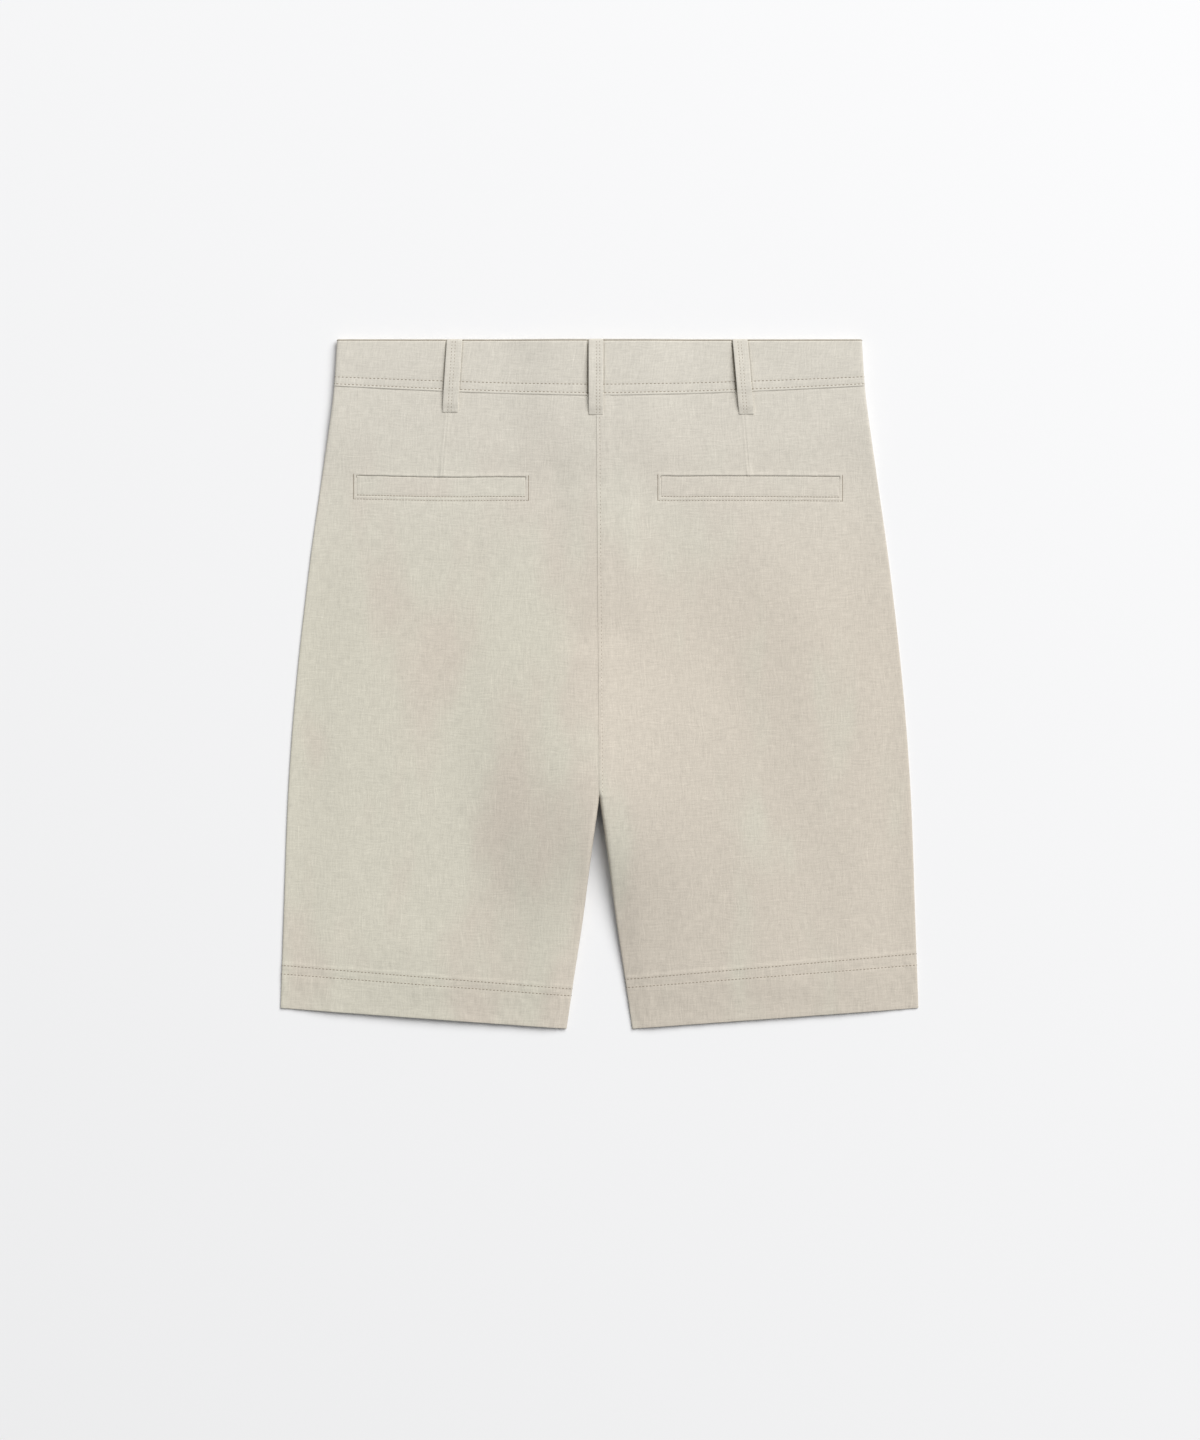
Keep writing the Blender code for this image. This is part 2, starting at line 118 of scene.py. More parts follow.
fly = {
    "end": 205.0,
    "turn": 13.0,
    "lap": 10.0,
    "under": 4.5,
    "rise": 1.5,
    "riseAcross": (22, 14),
    "riseEnd": 31.0,
    "across": (36, 18),
    "begins": 120,
    "fades": (40, 12),  # from the fly's end
}

# down, across
sideFold = [(0, 200), (43, 203), (100, 211), (168, 220.6), (260, 231), (345, 237.4), (443, 241), (526, 243.9)]
legFold = [(349, 0), (397, 6.7), (443, 12.7), (488, 19.6), (526, 25.1)]
# across, down
hemLine = [(0, shorts["length"]), (244, shorts["hemDownSide"])]

# ridges: across, down, turn from straight down, length, width, height, the front's share
leftHemRidge = (-128, 512, 6, 150, 150, 2.6, 0.5)
ridges = [
    (0, 342, 0, 200, 124, 11.0, 0.9),
    leftHemRidge,
    (-70, 262, 12, 190, 70, 0.7, 0),
    (78, 250, -16, 200, 76, 0.8, 0),
    (-196, 330, 4, 230, 26, 0.5, 0),
    (204, 300, -4, 260, 24, 0.5, 0),
    (122, 430, 10, 190, 52, 0.8, 0),
    (188, 458, -7, 130, 26, 0.4, 0),
    (62, 440, -8, 160, 30, 0.5, 0),
]
# softer creases that only the cloth has, the same way, without the share
creases = [
    (0, 352, 0, 140, 140, 2.6),
    (6, 374, 0, 132, 150, 3.6),
    (-60, 384, -12, 190, 90, 1.4),
    (-2, 232, 0, 240, 60, 0.9),
    (-130, 142, -52, 130, 52, 1.1),
    (-104, 196, -40, 120, 40, -0.6),
    (142, 196, 31, 210, 58, 1.3),
    (96, 262, 24, 200, 44, -0.7),
    (168, 330, 14, 190, 46, 0.8),
    (-160, 330, -6, 220, 60, 0.9),
    (-96, 392, 9, 190, 46, -0.8),
    (-52, 404, 14, 150, 34, 0.7),
    (58, 372, -13, 170, 38, 0.8),
    (44, 462, -9, 110, 30, -0.8),
    (-20, 148, 8, 120, 26, -0.5),
    (26, 176, -12, 130, 30, 0.5),
    (-186, 214, 5, 170, 30, 0.6),
    (192, 180, -6, 150, 28, -0.5),
    (-70, 84, 84, 110, 22, 0.5),
    (-160, 66, 78, 70, 16, -0.5),
    (92, 82, 96, 100, 20, 0.4),
    (160, 74, 104, 80, 20, 0.5),
    (-206, 450, 3, 120, 24, 0.5),
    (226, 420, -2, 160, 20, -0.5),
    (148, 492, 80, 90, 26, 0.4),
    (-184, 486, 96, 80, 24, -0.4),
]


def lerp(a, b, t):
    return a + (b - a) * t


def ease(start, end, value):
    t = min(max((value - start) / (end - start), 0.0), 1.0)
    return t * t * (3 - 2 * t)


def dent(value, width):
    return math.exp(-((value / width) ** 2))


def through(table, value):
    # a smooth curve through a table of pairs
    last = len(table) - 1
    i = 0
    while i < last - 1 and value > table[i + 1][0]:
        i += 1
    (startAt, start), (endAt, end) = table[i], table[i + 1]
    before, after = table[max(i - 1, 0)], table[min(i + 2, last)]
    span = endAt - startAt
    t = (value - startAt) / span
    slopeIn = (end - before[1]) / (endAt - before[0]) * span
    slopeOut = (after[1] - start) / (after[0] - startAt) * span
    first = (2 * t**3 - 3 * t**2 + 1) * start + (t**3 - 2 * t**2 + t) * slopeIn
    return first + (3 * t**2 - 2 * t**3) * end + (t**3 - t**2) * slopeOut


def place(point):
    x, down, height = point
    return Vector((x * mm, topEdge - down * mm, height * mm))


def innerFold(down):
    if down < shorts["crotchDown"]:
        return shorts["foldReach"] * (down - shorts["crotchDown"]) / shorts["crotchRoll"]
    return through(legFold, down)


def seamLine(down):
    return -shorts["sway"] * max(1 - down / shorts["crotchDown"], 0.0)


def bandDepth(x):
    return lerp(band["depthCentre"], band["depthSide"], (abs(x) / sideFold[1][1]) ** band["curve"])


def frontDip(x, down=0.0):
    fades = ease(shorts["frontDipFades"], band["depthCentre"], down)
    return shorts["frontDip"] * max(1 - (x / sideFold[0][1]) ** 2, 0.0) * fades


def bandHeight(x):
    return lerp(band["heightCentre"], band["heightSide"], ease(*band["heightFades"], abs(x)))


def bandFloor(x):
    return lerp(band["floorCentre"], band["floorSide"], ease(*band["floorFades"], abs(x)))


def overFly(x, down):
    last, full = fly["fades"]
    return ease(*fly["across"], abs(x)) * ease(fly["end"] + last, fly["end"] + full, down)


def bell(x, down, fold):
    across, middle, turn, length, width, height = fold[:6]
    turn = math.radians(turn)
    dx, dy = x - across, down - middle
    along = 2 * (dx * math.sin(turn) + dy * math.cos(turn)) / length
    beside = 2 * (dx * math.cos(turn) - dy * math.sin(turn)) / width
    size = along * along + beside * beside
    return height * math.exp(-size) if size < 8 else 0.0


def hemLeft(across, down):
    # how far it still is to the hem
    return through(hemLine, across) - down


def plainTop(x, down):
    # the height of the back before anything is sewn into it
    onFly = overFly(x, down)
    height = lerp(shorts["backHeight"], shorts["flyHeight"], onFly)
    height += sum(bell(x, down, fold) for fold in ridges) * (1 - onFly)
    thin, reach = shorts["edgeThins"]
    thins = [thin * dent(through(sideFold, down) - abs(x), reach)]
    if down > shorts["legFades"][0]:
        onLeg = ease(*shorts["legFades"], down)
        thin, reach = shorts["inseamThins"]
        thins.append(thin * dent(abs(x) - innerFold(down), reach) * onLeg)
        thin, reach = shorts["leftHemThins" if x < 0 else "rightHemThins"]
        atHem = dent(hemLeft(abs(x), down), reach)
        thins.append(thin * atHem * onLeg)
        if x < 0:
            thins[-1] += shorts["leftHemLift"] * bell(x, down, leftHemRidge) / leftHemRidge[5] * atHem
    height -= math.hypot(*thins)
    return lerp(height, bandHeight(x) - band["step"], ease(*shorts["bandFades"], down))


def plainFloor(x, down):
    # the height of the front's outer side
    height = bandFloor(x) * ease(*shorts["bandFloorFades"], down)
    height += sum(bell(x, down, fold) * fold[6] for fold in ridges if fold[6])
    return height * (1 - overFly(x, down)) if down > fly["begins"] else height


def underRise(x, down):
    # the right front rises over the fly's lap
    start, full = fly["end"] + fly["riseEnd"], fly["end"] + fly["turn"]
    return fly["rise"] * ease(*fly["riseAcross"], x) * ease(start, full, down)


def fromFold(along):
    # for a distance round a fold: how far in from its outermost line it is, and how far up
    reach = shorts["foldReach"]
    if along < reach * math.pi / 2:
        turn, shape = along / reach, shorts["foldShape"]
        return reach * (1 - math.cos(turn) ** shape), math.sin(turn) ** shape
    return along - reach * (math.pi / 2 - 1), 1.0


def roundFold(edge, inward, start, end, cells, count):
    # places round a fold: across, how far up, and the signed distance round it
    for i in range(count):
        along = lerp(start, end, i / cells)
        distance, rise = fromFold(abs(along))
        yield edge + inward * distance, rise, along


def roll(distance):
    near = min(max(distance / shorts["foldReach"], 0.0), 1.0)
    power = 2 / shorts["foldShape"]
    return (1 - (1 - near) ** power) ** (1 / power)


def halfTurn(steps):
    return [math.pi * i / steps for i in range(steps + 1)]


def ripple(x, down, size, seed):
    return noise.noise(Vector((x / size, down / size, seed)))


print("shorts: form read from the frame")


class Value:
    def __init__(self, tree, socket=None):
        self.tree = tree
        self.socket = socket

    def node(self, kind, settings, values, result=0):
        made = self.tree.nodes.new(kind)
        for name, setting in settings.items():
            setattr(made, name, setting)
        for name, value in values.items():
            if isinstance(value, Value):
                self.tree.links.new(value.socket, made.inputs[name])
            else:
                made.inputs[name].default_value = value
        return Value(self.tree, made.outputs[result])

    def maths(self, operation, first, second):
        return self.node("ShaderNodeMath", {"operation": operation}, {0: first, 1: second})

    def __add__(self, other):
        return self.maths("ADD", self, other)

    __radd__ = __add__

    def __sub__(self, other):
        return self.maths("SUBTRACT", self, other)

    def __rsub__(self, other):
        return self.maths("SUBTRACT", other, self)

    def __mul__(self, other):
        return self.maths("MULTIPLY", self, other)

    __rmul__ = __mul__

    def sine(self):
        return self.maths("SINE", self, 0.0)

    def between(self, low, high):
        limits = {"Value": self, "From Min": low, "From Max": high, "To Min": 0.0, "To Max": 1.0}
        return self.node("ShaderNodeMapRange", {"interpolation_type": "SMOOTHSTEP", "clamp": True}, limits)

    def stretched(self, size):
        return self.node("ShaderNodeVectorMath", {"operation": "MULTIPLY"}, {0: self, 1: size})

    def axis(self, number):
        return self.node("ShaderNodeSeparateXYZ", {}, {"Vector": self}, number)

    def noise(self, size, detail=2.0, roughness=0.5):
        values = {"Vector": self.stretched(size), "Scale": 1.0, "Detail": detail, "Roughness": roughness}
        return self.node("ShaderNodeTexNoise", {"noise_dimensions": "3D"}, values)

    def mix(self, first, second):
        settings = {"data_type": "RGBA", "blend_type": "MIX"}
        return self.node("ShaderNodeMix", settings, {0: self, 6: first, 7: second}, 2)

    def shaded(self, colour):
        # a colour made lighter or darker by this value
        return self.node("ShaderNodeVectorMath", {"operation": "SCALE"}, {0: colour, "Scale": self})

    def feeds(self, shader, name):
        self.tree.links.new(self.socket, shader.inputs[name])

    def bumps(self, shader, strength, distance):
        values = {"Strength": strength, "Distance": distance, "Height": self}
        self.node("ShaderNodeBump", {}, values).feeds(shader, "Normal")


def newMaterial(name, shaderValues):
    material = bpy.data.materials.new(name)
    material.use_nodes = True
    shader = material.node_tree.nodes["Principled BSDF"]
    for key, value in shaderValues.items():
        shader.inputs[key].default_value = value
    return material, shader, Value(material.node_tree)


def objectPlace(start):
    return start.node("ShaderNodeTexCoord", {}, {}, 3)


def clothPlace(start):
    # where it is on the flat cloth, in millimetres
    return start.node("ShaderNodeUVMap", {"uv_map": "cloth"}, {}).stretched((1000, 1000, 1000))


def crowns(u, v, pitch):
    # a plain weave: 1 on a thread's crown, 0 between threads
    checker = (u * (math.pi / pitch)).sine() * (v * (math.pi / pitch)).sine()
    return checker * checker


linenLook = {
    "green": (0.648, 0.618, 0.520, 1),
    "pink": (0.637, 0.577, 0.491, 1),
    # the painted light colour, paler towards the waist
    "pale": (0.668, 0.632, 0.556, 1),
    "threadPitch": 0.62,
    # how often a pattern changes along each direction of the cloth, per millimetre
    "wander": (0.05, 0.05, 1),
    "warp": (0.85, 0.09, 1),
    "weft": (0.10, 0.85, 2),
    "warpSlub": (1.2, 0.035, 5),
    "weftSlub": (0.035, 1.2, 7),
    "grain": (0.95, 0.95, 1),
    "patch": (0.02, 0.007, 1),
    "slubLimits": (0.64, 0.76),
    "warpContrast": 0.31,
    "weftContrast": 0.29,
    "warpSlubContrast": 0.09,
    "weftSlubContrast": 0.07,
    "weaveContrast": 0.10,
    "grainContrast": 0.26,
}


def linenMaterial():
    look = linenLook
    values = {"Specular IOR Level": 0.22, "Sheen Weight": 0.12, "Sheen Roughness": 0.6}
    material, shader, start = newMaterial("linen", values)
    cloth = clothPlace(start)
    u, v = cloth.axis(0), cloth.axis(1)

    # the threads wander a little, so the streaks are never ruled lines
    wander = cloth.noise(look["wander"], 1.0) - 0.5
    across = start.node("ShaderNodeCombineXYZ", {}, {"X": u + wander * 5, "Y": v + wander * 5, "Z": 3.0})
    warp = across.noise(look["warp"], 2.0, 0.6)
    weft = across.noise(look["weft"], 2.0, 0.6)
    grain = across.noise(look["grain"], 2.0, 0.7)
    warpSlub = across.noise(look["warpSlub"], 1.0).between(*look["slubLimits"])
    weftSlub = across.noise(look["weftSlub"], 1.0).between(*look["slubLimits"])
    slubs = warpSlub * look["warpSlubContrast"] + weftSlub * look["weftSlubContrast"]
    weave = crowns(u + wander * 1.5, v + wander * 1.5, look["threadPitch"])
    streaks = (warp - 0.5) * look["warpContrast"] + (weft - 0.5) * look["weftContrast"]
    fine = (grain - 0.5) * look["grainContrast"] + (weave - 0.5) * look["weaveContrast"]
    shade = fine + streaks + slubs + 1.0

    # the dye leans towards green on the left leg
    where = objectPlace(start)
    toRight, toWaist = where.axis(0), where.axis(1)
    lean = toRight.between(-0.12, 0.05) * 0.22 - toRight.between(-0.17, -0.25) * 0.1
    patches = (cloth.noise(look["patch"]) + lean - 0.1).between(0.36, 0.6)
    # painted light and shade: the cloth is painted lighter along the left side, and painted darker along the
    # right side and inside the right leg, standing in for how the light falls on the slopes there
    sides = toRight.between(-0.15, -0.23) * 0.035 - toRight.between(0.15, 0.23) * 0.02
    inner = toRight.between(-0.005, 0.03) * toRight.between(0.15, 0.05) * toWaist.between(0.0, -0.06)
    shade = shade + sides - inner * 0.04
    colour = patches.mix(look["green"], look["pink"])
    # painted light: the cloth is painted paler towards the yoke and the waistband, brighter at the top where
    # the light falls
    colour = toWaist.between(0.02, 0.26).mix(colour, look["pale"])
    shade.shaded(colour).feeds(shader, "Base Color")
    (0.86 + grain * 0.12).feeds(shader, "Roughness")
    (weave * 0.5 + warp * 0.5 + weft * 0.5 + slubs * 5.0).bumps(shader, 0.45, 0.00018)
    return material


def threadWithPaintedShadeMaterial():
    material, shader, start = newMaterial("sewing_thread_with_painted_shade", {"Roughness": 0.7, "Sheen Weight": 0.1})
    twist = objectPlace(start).noise((2600, 2600, 2600), 1.0)
    # painted shade: the thread is painted far darker than the linen it matches, standing in for the shadows
    # of the needle holes along each row
    (0.9 + twist * 0.2).shaded((0.31, 0.26, 0.20)).feeds(shader, "Base Color")
    twist.bumps(shader, 0.4, 0.0001)
    return material


def cottonMaterial(name, colour, pitch):
    material, shader, start = newMaterial(name, {"Roughness": 0.9, "Specular IOR Level": 0.25})
    cloth = clothPlace(start)
    threads = crowns(cloth.axis(0), cloth.axis(1), pitch)
    mottle = cloth.noise((0.3, 0.3, 1), 3.0)
    (0.9 + threads * 0.1 + mottle * 0.08).shaded(colour).feeds(shader, "Base Color")
    threads.bumps(shader, 0.4, 0.00015)
    return material


def coilMaterial():
    material, shader, start = newMaterial("nylon_coil", {"Base Color": (0.55, 0.5, 0.41, 1)})
    (0.36 + objectPlace(start).noise((900, 900, 900)) * 0.16).feeds(shader, "Roughness")
    return material


def brassMaterial():
    material, shader, start = newMaterial("dull_brass", {"Metallic": 1.0})
    wear = objectPlace(start).noise((700, 2200, 700), 3.0)
    (0.3 + wear * 0.24).feeds(shader, "Roughness")
    (0.86 + wear * 0.24).shaded((0.62, 0.56, 0.42)).feeds(shader, "Base Color")
    return material


def hornMaterial():
    values = {"Coat Weight": 0.3, "Coat Roughness": 0.15, "Roughness": 0.34}
    material, shader, start = newMaterial("horn", values)
    grain = objectPlace(start).noise((160, 700, 300), 3.0).between(0.35, 0.7)
    grain.mix((0.36, 0.285, 0.195, 1), (0.56, 0.47, 0.35, 1)).feeds(shader, "Base Color")
    return material


linen = linenMaterial()
thread = threadWithPaintedShadeMaterial()
pocketing = cottonMaterial("pocketing", (0.68, 0.645, 0.565), 0.45)
tapeCloth = cottonMaterial("zip_tape_cloth", (0.60, 0.555, 0.465), 0.8)
coil = coilMaterial()
brass = brassMaterial()
horn = hornMaterial()
print("shorts: linen, thread, cotton, nylon, brass and horn ready")


def meshOf(bm, name):
    mesh = bpy.data.meshes.new(name)
    bm.to_mesh(mesh)
    bm.free()
    return mesh


def putInScene(name, data):
    made = bpy.data.objects.new(name, data)
    bpy.context.scene.collection.objects.link(made)
    return made


def addPiece(name, bm, material, slot, *replaced):
    piece = putInScene(name, meshOf(bm, name))
    piece.data.shade_smooth()
    piece.data.materials.append(material)
    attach(piece, "root")
    if replaced:
        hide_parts(*replaced)
    return piece


def pieceName(node):
    first, *others = node.split("_")
    return first + "".join(word.title() for word in others)


def stamp(bm, mesh, matrix):
    # adds a copy of a small mesh
    before = len(bm.verts)
    bm.from_mesh(mesh)
    bm.verts.ensure_lookup_table()
    bmesh.ops.transform(bm, matrix=matrix, verts=bm.verts[before:])


def gridMesh(rows, weave, flip):
    # a grid through rows of points, with its cloth coordinates in metres
    bm = bmesh.new()
    bmesh.ops.create_grid(bm, x_segments=len(rows[0]) - 1, y_segments=len(rows) - 1, size=1)
    bm.verts.ensure_lookup_table()
    points = [point for row in rows for point in row]
    for vert, point in zip(bm.verts, points):
        vert.co = place(point)
    flat = [Vector((u * mm, v * mm)) for row in weave for u, v in row]
    layer = bm.loops.layers.uv.new("cloth")
    for face in bm.faces:
        for loop in face.loops:
            loop[layer].uv = flat[loop.vert.index]
    if flip:
        bmesh.ops.reverse_faces(bm, faces=bm.faces)
    return bm


def closeTube(bm, merge):
    bmesh.ops.remove_doubles(bm, verts=bm.verts, dist=merge)
    bmesh.ops.holes_fill(bm, edges=[edge for edge in bm.edges if edge.is_boundary], sides=0)


def giveWall(piece, thickness):
    wall = piece.modifiers.new("wall", "SOLIDIFY")
    wall.thickness = thickness * mm
    wall.offset = -1
    wall.use_even_offset = False


def normalsOf(rows, outward):
    # unit normals of a grid of points; outward is a height sign that the middle one has
    normals = []
    for j, row in enumerate(rows):
        above, below = rows[max(j - 1, 0)], rows[min(j + 1, len(rows) - 1)]
        line = []
        for i in range(len(row)):
            beside = row[min(i + 1, len(row) - 1)] - row[max(i - 1, 0)]
            line.append(beside.cross(below[i] - above[i]).normalized())
        normals.append(line)
    middle = normals[len(rows) // 2][len(rows[0]) // 2]
    if middle.z * outward < 0:
        normals = [[-normal for normal in line] for line in normals]
    return normals


welts = {
    -1: {"inner": 56.4, "outer": 185.2, "innerDown": 105.2, "outerDown": 104.0, "depth": 15.4, "sag": 0.85},
    1: {"inner": 46.8, "outer": 183.0, "innerDown": 104.6, "outerDown": 104.9, "depth": 16.2, "sag": -0.3},
}
pocket = {
    "middle": (121, 42),  # across, and how far the sag reaches
    "down": 112,
    "level": (10, 34),
    "sagFades": ((80, 98), (142, 126)),
    "waver": 0.18,
    "reach": 5,
    "sink": 1.3,
    "slit": 0.42,
    "slitWaver": 0.2,
    "lip": 0.3,
    "lipFades": (3.2, 1.2),
    "frame": 2.3,
    "frameSwell": 0.22,
    "frameGroove": 0.2,
    "gap": 0.05,
    "gapBelow": 0.03,
}
# places across beside a pocket's end, from outside its frame to the welt
pocketEnds = {"outside": -3.3, "frame": -pocket["frame"], "cloth": -1.3, "slit": -0.34, "welt": 0.0}
darts = {-1: 0.5735, 1: 0.5435}  # share of the width where a dart lies
dart = {"top": 52, "bottom": 104, "ridge": 0.24, "sharp": 0.5, "width": 2.3, "point": 0.35, "pointTop": 92}
# rows of stitches over the hem: down at the inner fold and at the side fold
hems = {
    -1: {"upper": (495.3, 477.4), "lower": (500.5, 483.9)},
    1: {"upper": (488.0, 468.5), "lower": (494.3, 477.1)},
}
hem = {"rise": 0.3, "riseFades": (-3.2, -1.6), "groove": 0.1, "turn": 0.3, "pucker": 0.34, "swell": 0.2}
centreSeam = {
    "swell": 0.11,
    "ridge": 0.3,
    "allowance": 9.0,
    "stitch": 2.4,
    "groove": 0.06,
    "edge": 0.24,
    "edgeAt": 1.6,
    "edgeFades": (150, 300),
}
waves = {"swell": 0.26, "swellSize": 42, "wave": 0.10, "waveSize": 13, "dimple": 0.035, "underBand": 0.12}


def weltLine(side, across):
    welt = welts[side]
    slope = (welt["outerDown"] - welt["innerDown"]) / (welt["outer"] - welt["inner"])
    return welt["innerDown"] + slope * (across - welt["inner"])


def weltSag(side, across):
    middle, reach = pocket["middle"]
    waver = pocket["waver"] * ripple(across, side * 40, 9, 14)
    return welts[side]["sag"] * dent(across - middle, reach) + waver


def weltDown(side, across):
    return weltLine(side, across) + weltSag(side, across)


def pocketShape(side, across, down):
    # the cloth sinks under the welt, with a lip above it and a stitched frame round it
    welt = welts[side]
    t = down - weltDown(side, across)
    outside = max(welt["inner"] - across, across - welt["outer"], -t, t - welt["depth"])
    if outside > pocket["reach"]:
        return 0.0
    slit = pocket["slit"] + pocket["slitWaver"] * ripple(across, side * 60, 5, 15)
    height = -pocket["sink"] * (ease(slit, 0.0, outside) if t < 0 else ease(-0.1, -1.4, outside))
    if outside > 0:
        if t < 0:
            return height + pocket["lip"] * ease(*pocket["lipFades"], outside)
        groove = pocket["frameGroove"] * dent(outside - pocket["frame"], 0.45)
        height += pocket["frameSwell"] * dent(outside - 1.2, 0.8) - groove
    return height


def dartShape(side, across, down, width):
    if not dart["top"] < down < dart["bottom"] + 1:
        return 0.0
    beside = darts[side] * width - across
    folds = dent(beside, dart["sharp"]) + 0.8 * dent(beside - dart["width"], dart["sharp"])
    # it opens to a flat point at the welt
    point = dart["point"] * ease(dart["pointTop"], dart["bottom"], down)
    within = ease(-0.6, 0.4, beside) * ease(dart["width"] + 1.6, dart["width"], beside)
    return dart["ridge"] * folds + point * within


def hemShape(side, across, down, rowPart):
    upper = lerp(*hems[side]["upper"], rowPart)
    if down < upper - 5:
        return 0.0
    lower = lerp(*hems[side]["lower"], rowPart)
    pucker = hem["pucker"] * ripple(across, down * 0.6, 4.0, 4)
    pucker += hem["swell"] * ripple(across, down * 0.3, 11, 9)
    start, full = hem["riseFades"]
    shape = hem["rise"] * ease(upper + start, upper + full, down)
    shape += pucker * ease(upper - 3, upper, down)
    return shape - hem["groove"] * (dent(down - upper, 0.6) + dent(down - lower, 0.6))


def seamShape(side, beside, down):
    # the allowance lies on the right side, topstitched beside the seam
    shape = centreSeam["swell"] * dent(beside, 0.7)
    if side > 0:
        allowance = centreSeam["allowance"]
        shape += centreSeam["ridge"] * ease(allowance + 2.5, allowance, beside)
        shape -= centreSeam["groove"] * dent(beside - centreSeam["stitch"], 0.5)
        onEdge = ease(*centreSeam["edgeFades"], down)
        shape += centreSeam["edge"] * dent(beside - centreSeam["edgeAt"], 0.6) * onEdge
    return shape


def softWaves(x, down):
    swell = waves["swell"] * ripple(x, down * 0.8, waves["swellSize"], 1) * ease(*shorts["softFades"], down)
    return swell + waves["wave"] * ripple(x, down, waves["waveSize"], 2)


def creased(x, down):
    return sum(bell(x, down, crease) for crease in creases)


def clothTop(side, across, down, rowPart, width):
    # the height of the back cloth with everything sewn into it
    x = side * across
    height = plainTop(x, down) + creased(x, down) * lerp(0.45, 1, ease(*shorts["softFades"], down))
    height += softWaves(x, down) + waves["dimple"] * ripple(x, down, 4.5, 3)
    if down < shorts["crotchDown"]:
        height += seamShape(side, x - seamLine(down), down)
    height -= waves["underBand"] * dent(down - bandDepth(x) - 0.1, 0.8)
    height += pocketShape(side, across, down)
    height += dartShape(side, across, down, width)
    return height + hemShape(side, across, down, rowPart)


def clothFloor(side, across, down):
    x = side * across
    height = plainFloor(x, down) + shorts["frontGap"]
    if x < 0:
        height += shorts["leftFrontLift"] * bell(x, down, leftHemRidge)
    if side > 0:
        height += underRise(x, down)
    return height + 0.05 * (1 + ripple(x, down, 16, 6))


def rowsOf(side, fine):
    # rows across a panel: name, down in the middle, down at the side fold
    welt = welts[side]
    waist = (band["depthCentre"], band["depthSide"])
    weltTop = (weltLine(side, 0), weltLine(side, through(sideFold, welt["outerDown"])))
    weltBottom = (weltTop[0] + welt["depth"], weltTop[1] + welt["depth"])
    crotch = (shorts["crotchDown"], shorts["crotchDownSide"])
    upper, lower = hems[side]["upper"], hems[side]["lower"]
    hemEdge = (shorts["length"], shorts["hemDownSide"])
    # name, the line it runs along, how far below that, cells to the next row
    marks = [
        ("tuck", waist, -1.4, 2),
        ("waist", waist, 0.4, 3),
        ("yoke", waist, 3, 26),
        ("lip", weltTop, -3.2, 2),
        ("lipEdge", weltTop, -1.2, 1),
        ("slit", weltTop, -0.34, 1),
        ("weltTop", weltTop, 0, 7),
        ("weltBottom", weltBottom, 0, 1),
        ("frameTop", weltBottom, 0.34, 1),
        ("frameMiddle", weltBottom, 1.3, 1),
        ("frame", weltBottom, pocket["frame"], 1),
        ("frameEnd", weltBottom, 3.3, 86),
        ("rise", crotch, -13, 13),
        ("crotch", crotch, 0, 15),
        ("leg", (366, 353), 0, 50),
        ("turnUp", upper, -4, 4),
        ("upperStitch", upper, 0, 4),
        ("lowerStitch", lower, 0, 2),
        ("hemCloth", lower, 2, 11),
        ("hem", hemEdge, -hem["turn"], 0),
    ]
    marks = [(name, inner + below, outer + below, cells) for name, (inner, outer), below, cells in marks]
    rows = []
    for (name, inner, outer, cells), following in zip(marks, marks[1:]):
        cells = max(cells if fine else round(cells * 0.42), 1)
        rows.append((name, inner, outer))
        for i in range(1, cells):
            rows.append(("", lerp(inner, following[1], i / cells), lerp(outer, following[2], i / cells)))
    return rows + [marks[-1][:3]]


def inseam(inner):
    # how far round the fold it lies under the crotch, and how far its two edges are apart
    turned = ease(shorts["crotchDown"], shorts["crotchDown"] + shorts["inseamTurn"], inner)
    return shorts["seamUnder"] * turned, lerp(shorts["crotchGap"], shorts["seamGap"], turned)


seamOffsets = [0, 0.04, 0.45, 0.9, 1.4, 1.9, 2.4, 2.9, 3.4, 3.9, 4.4, 4.9, 5.4, 5.9]
sideCells = 15


def backPlaces(side, inner, outer):
    # places of one row: across, how far up its fold it has come, and whether it is on top
    foldIn, foldOut = innerFold(inner), through(sideFold, outer)
    middle = pocket["down"]
    near = middle + (outer - middle) * ease(*pocket["level"], abs(outer - middle))
    scale = through(sideFold, near) / through(sideFold, middle)
    if inner >= shorts["crotchDown"]:
        under, gap = inseam(inner)
        cells = len(seamOffsets)
        turn = roundFold(foldIn, 1, gap / 2 - under, 8.4, cells, cells)
        places = [(across, rise, along > 0) for across, rise, along in turn]
    else:
        begin = shorts["seamGap"] / 2 + side * seamLine(inner)
        places = [(begin + offset, roll(begin + offset - foldIn), True) for offset in seamOffsets]
    # name, across, cells to the next place
    marks = [("body", places[-1][0] + 0.5, 22)]
    inner, outer = welts[side]["inner"] * scale, welts[side]["outer"] * scale
    for name, offset in pocketEnds.items():
        marks.append(("inner " + name, inner + offset, 25 if name == "welt" else 1))
    for offset, cells in ((-6, 3), (-2.9, 2), (-1.7, 3), (-0.6, 1), (0, 1), (0.6, 28)):
        marks.append(("dart", darts[side] * foldOut + offset, cells))
    for name, offset in reversed(pocketEnds.items()):
        marks.append(("outer " + name, outer - offset, 11 if name == "outside" else 1))
    marks.append(("fold", foldOut - shorts["foldReach"], 0))
    names = {}
    for (name, across, cells), following in zip(marks, marks[1:]):
        names[name] = len(places)
        for i in range(cells):
            here = lerp(across, following[1], i / cells)
            places.append((here, roll(here - foldIn), True))
    arc = shorts["foldReach"] * math.pi / 2
    turn = roundFold(foldOut, -1, arc, -shorts["seamUnder"], sideCells, sideCells + 1)
    places += [(across, rise, along > 0) for across, rise, along in turn]
    return places, names


